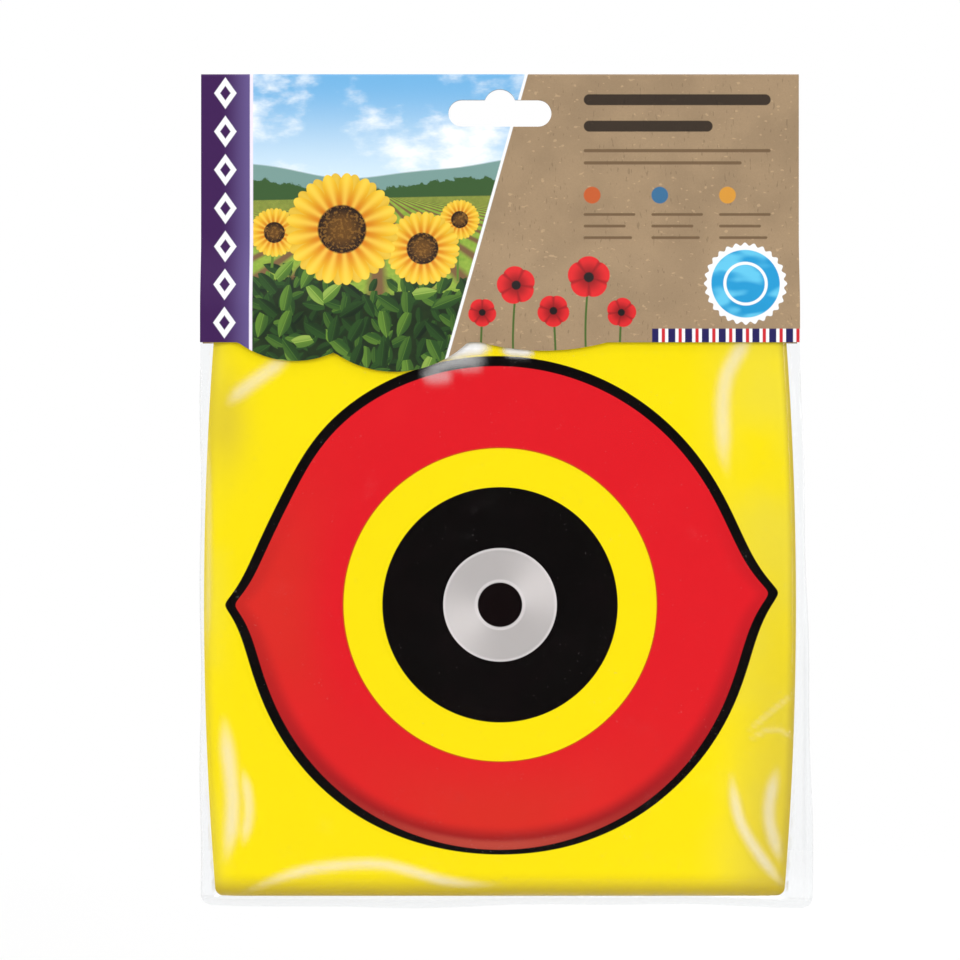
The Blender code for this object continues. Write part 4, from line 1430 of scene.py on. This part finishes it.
def back_creases():
    """Creases of the back film, most of them round the valve that pushes it out, given as the front ones with
    their painted highlight.
    """
    return (
        (((11, -122), (19, -110), (31, -101), (46, -95), (60, -93)), 0.8, 1.3, 0.45),
        (((-6, -151), (-12, -166), (-24, -180), (-40, -189)), 0.8, 1.2, 0.45),
        (((19, -146), (33, -153), (52, -156), (70, -153)), 0.7, 1.4, 0.40),
        (((-9, -129), (-24, -124), (-43, -126), (-60, -133)), 0.6, 1.2, 0.35),
        (((7, -155), (11, -176), (9, -199), (4, -212)), 0.5, 1.1, 0.35),
        (((20, -131), (36, -128), (49, -131)), 0.5, 1.0, 0.30),
        (((-84.5, -186), (-82.6, -208), (-84.6, -234)), 0.5, 1.9, 0.95),
        (((84.5, -90), (82.3, -118), (84.5, -146)), 0.5, 1.7, 0.80),
        (((-72, -76), (-81, -94), (-84.5, -116)), 0.5, 1.7, 0.80),
        (((84, -242), (62, -235.5), (38, -233), (14, -235.5), (-12, -241)), 0.5, 1.4, 0.90),
        (((76.5, -198), (80.5, -216), (79, -232)), 0.4, 1.4, 0.80),
        (((-30, -241), (-50, -236), (-70, -240)), 0.4, 1.2, 0.60),
    )


def noise_row(xs, z, x_scale, z_scale, layer):
    """Noise at the places of one row."""
    return np.array([noise.noise(Vector((x * x_scale, z * z_scale, layer))) for x in xs])


class MakeBag(bpy.types.Operator):
    """Builds the clear bag as one film cup with its creases, welds and wavy margin."""
    bl_idname = "balloon.bag"
    bl_label = "Clear bag"

    def heights(self):
        """Levels of the bag's rows, from its mouth down to its welded foot."""
        rows = run_through(mouth_z, (-36 * mm, 6), (-64 * mm, 14), (-112 * mm, 42), (-180 * mm, 30),
                           (lower_axis_z, 46))
        room = lower_axis_z - seal_top_z
        rows += [lower_axis_z - room * math.sin(math.radians(a)) for a in spread(9, 90, 9)]
        return rows + spread(seal_top_z, bag_bottom_z, 4)[1:]

    def columns(self):
        """Shares across the bag, from its left weld to its right one, finer near both sides."""
        return run_through(0, (0.02, 7), (0.18, 34), (0.34, 10), (0.58, 34), (0.82, 14), (0.96, 32), (1, 16))

    def side_x(self, side, z):
        inset = mouth_inset * float(smooth((z - card_foot_z) / (mouth_z - card_foot_z)))
        flare = 0
        if side > 0 and z < card_foot_z:
            share = (card_foot_z - z) / (card_foot_z - bag_bottom_z)
            flare = bag_flare * share ** 0.8
        wave = 0.25 * mm * math.sin(z / (9 * mm) + side) * float(smooth((card_foot_z - z) / (20 * mm)))
        corner = 1 - min((z - bag_bottom_z) / bag_corner, 1)
        cut = bag_corner * (1 - math.sqrt(1 - corner * corner))
        return side * (bag_half_width + flare - inset + wave - cut)

    def depth(self, side_y, z):
        share = float(smooth((bend_top_z - z) / (bend_top_z - bend_bottom_z)))
        depth = mouth_half_gap + (side_y - mouth_half_gap) * share
        if z >= lower_axis_z:
            return depth
        low = min((lower_axis_z - z) / (lower_axis_z - seal_top_z), 1)
        return mouth_half_gap + (depth - mouth_half_gap) * math.sqrt(1 - low * low)

    def widest_tail(self, z):
        inner_roll = 0.45 * mm
        upper = upper_axis_z - eye_z + math.pi * inner_roll + max(upper_axis_z - z, 0)
        lower = eye_z - lower_axis_z + max(z - lower_axis_z, 0)
        return max(gore_half_width(min(reach, gore_half_length)) for reach in (upper, lower))

    def crease_at(self, xs, zs, lines):
        """Height share and painted light of the nearest crease, for arrays of places in mm: painted highlight
        at the creases, painted shade at the margin lines.
        """
        height = np.zeros_like(xs)
        white = np.zeros_like(xs)
        for line, rise, half, painted_light_share in lines:
            fine = [tuple(p) for p in bend_line(line, 6)]
            lengths = np.cumsum([0] + [math.dist(a, b) for a, b in zip(fine, fine[1:])])
            best = np.full_like(xs, 1e9)
            place = np.zeros_like(xs)
            for index, (a, b) in enumerate(zip(fine, fine[1:])):
                run = np.array(b) - np.array(a)
                span = run @ run
                t = np.clip(((xs - a[0]) * run[0] + (zs - a[1]) * run[1]) / span, 0, 1)
                away = np.hypot(xs - a[0] - t * run[0], zs - a[1] - t * run[1])
                nearer = away < best
                best = np.where(nearer, away, best)
                place = np.where(nearer, (lengths[index] + t * math.sqrt(span)) / lengths[-1], place)
            taper = smooth(place / 0.28) * smooth((1 - place) / 0.28)
            ridge = np.exp(-((best / (half * (0.6 + 0.4 * taper))) ** 2.4)) * taper
            height = np.maximum(height, rise * ridge)
            white = np.maximum(white, painted_light_share * ridge)
        return height, white

    def execute(self, context):
        settings = context.scene.bag_settings
        puff = context.scene.balloon_settings.puff
        rows, shares = self.heights(), self.columns()
        count = len(shares)
        columns = 2 * count
        grid = np.zeros((len(rows), columns, 3))
        weld = np.zeros((len(rows), columns))
        crease = np.zeros((len(rows), columns))
        sides = [(self.side_x(-1, z), self.side_x(1, z)) for z in rows]
        across = np.array([[left + (right - left) * share for share in shares] for left, right in sides])
        down = np.array([[z] * count for z in rows])
        (front_height, front_painted_highlight), (back_height, back_painted_highlight), (line_height, line_painted_shade) = (
            self.crease_at(across / mm, down / mm, drawn())
            for drawn in (front_creases, back_creases, margin_lines))
        for r, z in enumerate(rows):
            (left, right), xs = sides[r], across[r]
            off, from_weld = np.abs(xs), np.minimum(xs - left, right - xs)
            front, back = self.depth(bag_front_y, z), self.depth(bag_back_y, z)
            full = (front - mouth_half_gap) / (bag_front_y - mouth_half_gap)

            # The film lies on the packet, steps in beside its narrower tails and meets at the seam
            seam_y = stack_middle_y * full
            packet = gore_half_width(z - eye_z)
            over = np.clip((packet + 1.1 * mm - off) / (3.2 * mm), 0, 1)
            meet_y = seam_y - mouth_half_gap
            front_y = meet_y + (-front - meet_y) * np.sin(over * math.pi / 2)
            side_y = stack_middle_y + stack_half_depth + 0.35 * mm
            step_y = mouth_half_gap + (side_y - mouth_half_gap) * full
            step_x = packet + 0.5 * mm
            tail_x = min(self.widest_tail(z) + 0.3 * mm, packet)
            places = [0, tail_x, tail_x + 0.2 * mm, max(step_x, tail_x + 0.4 * mm),
                      max(step_x + 0.5 * mm, tail_x + 0.7 * mm), 1]
            levels = [back, back, back - 0.1 * mm * full, step_y, seam_y + mouth_half_gap,
                      seam_y + mouth_half_gap]
            back_y = np.interp(off, places, levels)
            away = np.hypot(xs - pocket_x, z - pocket_z)
            back_y += (pocket_y - back) * smooth((pocket_flat + pocket_skirt - away) / pocket_skirt) * full

            # Ripples and creases, but none under the card
            free = smooth((-74 * mm - z) / (9 * mm))
            shown = float(smooth((-69.6 * mm - z) / (3 * mm)))
            rough = settings.ripple * (np.abs(noise_row(xs, z, 42, 26, 3.1))
                                       + 0.35 * noise_row(xs, z, 130, 60, 7.7) + 0.15)
            raised = settings.crease_height * (front_height[r] + line_height[r])
            on_front = np.clip(over * 1.5, 0, 1) * free
            front_y -= puff_at(xs, z, puff) + (raised + rough) * on_front
            on_back = free * smooth((packet - off) / (8 * mm))
            back_y += on_back * (settings.ripple * 1.6 * np.abs(noise_row(xs, z, 38, 22, 11.3))
                                 + settings.crease_height * back_height[r])

            # Beside the packet the two films are fluted, and the foot waves up and down
            margin = smooth((off - packet - 0.9 * mm) / (0.8 * mm)) * free
            margin *= np.clip(from_weld / (0.6 * mm), 0, 1) * float(smooth((z - seal_top_z) / (4 * mm)))
            flute = np.sin(xs / (0.42 * mm) + z / (21 * mm)) * 0.5
            flute = flute + 0.5 * np.sin(xs / (0.9 * mm) - z / (13 * mm))
            front_y -= margin * (0.35 * mm + 0.12 * mm * flute + raised)
            back_y += margin * (0.25 * mm + 0.25 * mm * np.cos(xs / (0.7 * mm)))
            foot = smooth((lower_axis_z - z) / (lower_axis_z - bag_bottom_z))
            drop = foot * (np.sin(xs / (23 * mm)) * 0.55 * mm + np.sin(xs / (9 * mm) + 1) * 0.25 * mm)

            grid[r, :count] = np.stack([xs, front_y, z + drop], axis=-1)
            grid[r, count:] = np.stack([xs, back_y, z + drop], axis=-1)[::-1]
            # weld holds the welds and the painted shade of the margin lines; crease holds the creases'
            # painted highlight
            side_weld = smooth(1 - from_weld / (0.9 * mm)) * free * 0.6
            foot_weld = float(smooth((seal_top_z - z) / (0.5 * mm))) * 0.45
            both = np.maximum(side_weld, foot_weld)
            weld[r] = np.concatenate([np.maximum(both, line_painted_shade[r]), both[::-1]])
            crease[r] = np.concatenate([front_painted_highlight[r] * shown, back_painted_highlight[r][::-1] * free])
        faces = grid_faces(len(rows), columns, 0, False, True)
        last = (len(rows) - 1) * columns
        for index in range(count - 1):
            mirror = last + columns - 1 - index
            faces.append((last + index, last + index + 1, mirror - 1, mirror))
        piece = add_piece("clear_bag", grid.reshape(-1, 3).tolist(), faces, [film_finish(settings)],
                          values={"weld": weld.ravel(), "crease": crease.ravel()}, angle=60)
        front_row = 40
        if piece.data.polygons[front_row * columns + count // 2].normal.y > 0:
            piece.data.flip_normals()
        wall = piece.modifiers.new("Film", "SOLIDIFY")
        wall.thickness = film
        wall.offset = 1
        apply_modifiers(piece)
        dress(piece, node="bag")
        return {"FINISHED"}


class MakeStudio(bpy.types.Operator):
    """Builds the floor, the lamps, the world and the camera."""
    bl_idname = "balloon.studio"
    bl_label = "Studio"

    def floor(self):
        """A round floor that takes the object's shadow and turns white towards its rim."""
        middle_y, rim = 0.25, 0.62
        finish = Finish("studio_floor", Base_Color=(0.8, 0.8, 0.8), Roughness=0.7)
        finish.set(Roughness=finish.grain(3) * 0.1 + 0.62)
        seen = finish.node("ShaderNodeLightPath", None, "Is Camera Ray")
        glow = finish.node("ShaderNodeEmission", {"Color": (1, 1, 1, 1), "Strength": 1.0})
        away = finish.vector("DISTANCE", finish.here(), (0, middle_y, frame_box[0].z), output="Value")
        finish.mix(seen * (away.ease(0.30, 0.58) * 0.2 + 0.8), glow, 2)
        level = frame_box[0].z - 45 * mm
        sides, rings = 64, 8
        points = [(0, middle_y, level)]
        for reach in spread(rim / rings, rim, rings - 1):
            for turn in spread(0, 2 * math.pi, sides)[:-1]:
                points.append((reach * math.cos(turn), middle_y + reach * math.sin(turn), level))
        faces = grid_faces(rings, sides, 1, False, True)
        faces += [(0, s + 1, (s + 1) % sides + 1) for s in range(sides)]
        floor = add_piece("studio_floor", points, faces, [finish.material])
        if floor.data.polygons[0].normal.z < 0:
            floor.data.flip_normals()

    def world(self, settings):
        """White to the camera, bright behind it in the mirrored film, and an even light elsewhere."""
        world = bpy.data.worlds.new("studio")
        bpy.context.scene.world = world
        world.use_nodes = True
        sketch = Sketch(world.node_tree)
        sketch.tree.nodes.clear()
        ray = sketch.outputs(sketch.node("ShaderNodeLightPath"))
        seen = ray["Is Camera Ray"]
        _, y, z = sketch.split(sketch.node("ShaderNodeTexCoord", None, "Generated"))
        backdrop = y.ease(-0.88, -0.25) * 0.90 + 0.06 + z.ease(0.1, 0.9) * 0.04
        mirrored = ray["Is Glossy Ray"].most(ray["Is Transmission Ray"])
        rest = (1 - seen) * (1 - mirrored)
        strength = seen + mirrored * backdrop * (1 - seen) + rest * settings.ambient
        glow = sketch.node("ShaderNodeBackground", {"Color": (1, 1, 1, 1), "Strength": strength})
        out = sketch.tree.nodes.new("ShaderNodeOutputWorld")
        sketch.tree.links.new(glow.socket, out.inputs["Surface"])

    def lamp(self, name, place, aim, width, height, power):
        light = bpy.data.lights.new(name, "AREA")
        light.shape = "RECTANGLE"
        light.size, light.size_y = width, height
        light.energy = power
        lamp = bpy.data.objects.new(name, light)
        lamp.location = place
        lamp.rotation_euler = (Vector(aim) - Vector(place)).to_track_quat("-Z", "Y").to_euler()
        lamp.visible_camera = False
        bpy.context.scene.collection.objects.link(lamp)

    def camera(self, settings):
        data = bpy.data.cameras.new("camera")
        camera = bpy.data.objects.new("camera", data)
        bpy.context.scene.collection.objects.link(camera)
        data.sensor_width = 36.0
        data.lens = data.sensor_width * (settings.camera_distance - 5 * mm) / settings.view_width
        camera.location = (-6.19 * mm, -settings.camera_distance, -113.8 * mm)
        camera.rotation_euler = (math.pi / 2, 0, 0)
        data.clip_start, data.clip_end = 0.05, 50
        bpy.context.scene.camera = camera

    def execute(self, context):
        settings = context.scene.studio_settings
        self.floor()
        self.world(settings)
        aim = (0, 0, -0.12)
        self.lamp("lamp_left", (-1.05, -1.15, 0.55), aim, 0.5, 0.9, settings.left_power)
        self.lamp("lamp_right", (1.15, -0.95, 0.20), aim, 0.35, 0.9, settings.right_power)
        self.lamp("lamp_top", (0.1, -0.5, 1.2), aim, 0.9, 0.4, settings.top_power)
        self.lamp("lamp_back", (0.5, 1.3, 0.7), aim, 0.9, 0.9, settings.back_power)
        self.camera(settings)
        context.scene.view_settings.view_transform = "Standard"
        return {"FINISHED"}


class BalloonPanel(bpy.types.Panel):
    """Lists the pieces and the studio."""
    bl_idname = "VIEW3D_PT_balloon"
    bl_label = "Folded scare balloon"
    bl_space_type = "VIEW_3D"
    bl_region_type = "UI"
    bl_category = "Balloon"

    def draw(self, context):
        for group, operators in (
            ("card_settings", (MakeCard,)),
            ("balloon_settings", (MakeGores, MakeCaps, MakeDiscs, MakeWelds)),
            ("bag_settings", (MakeAdhesive, MakeBag)),
            ("valve_settings", (MakeValve, MakeTab)),
            ("studio_settings", (MakeStudio,)),
        ):
            box = self.layout.box()
            settings = getattr(context.scene, group)
            for name in settings.__annotations__:
                box.prop(settings, name)
            for operator in operators:
                box.operator(operator.bl_idname, text=operator.bl_label)


setting_groups = {
    "card_settings": CardSettings,
    "balloon_settings": BalloonSettings,
    "bag_settings": BagSettings,
    "valve_settings": ValveSettings,
    "studio_settings": StudioSettings,
}
steps = (MakeCard, MakeGores, MakeCaps, MakeDiscs, MakeWelds, MakeValve, MakeTab, MakeAdhesive,
         MakeBag, MakeStudio)


def register():
    for group in (*setting_groups.values(), *steps, BalloonPanel):
        bpy.utils.register_class(group)
    for name, group in setting_groups.items():
        setattr(bpy.types.Scene, name, bpy.props.PointerProperty(type=group))


def unregister():
    for name in setting_groups:
        delattr(bpy.types.Scene, name)
    for group in reversed((*setting_groups.values(), *steps, BalloonPanel)):
        bpy.utils.unregister_class(group)


def main():
    register()
    for step in steps:
        area, action = step.bl_idname.split(".")
        getattr(getattr(bpy.ops, area), action)()


if __name__ == "__main__":
    main()
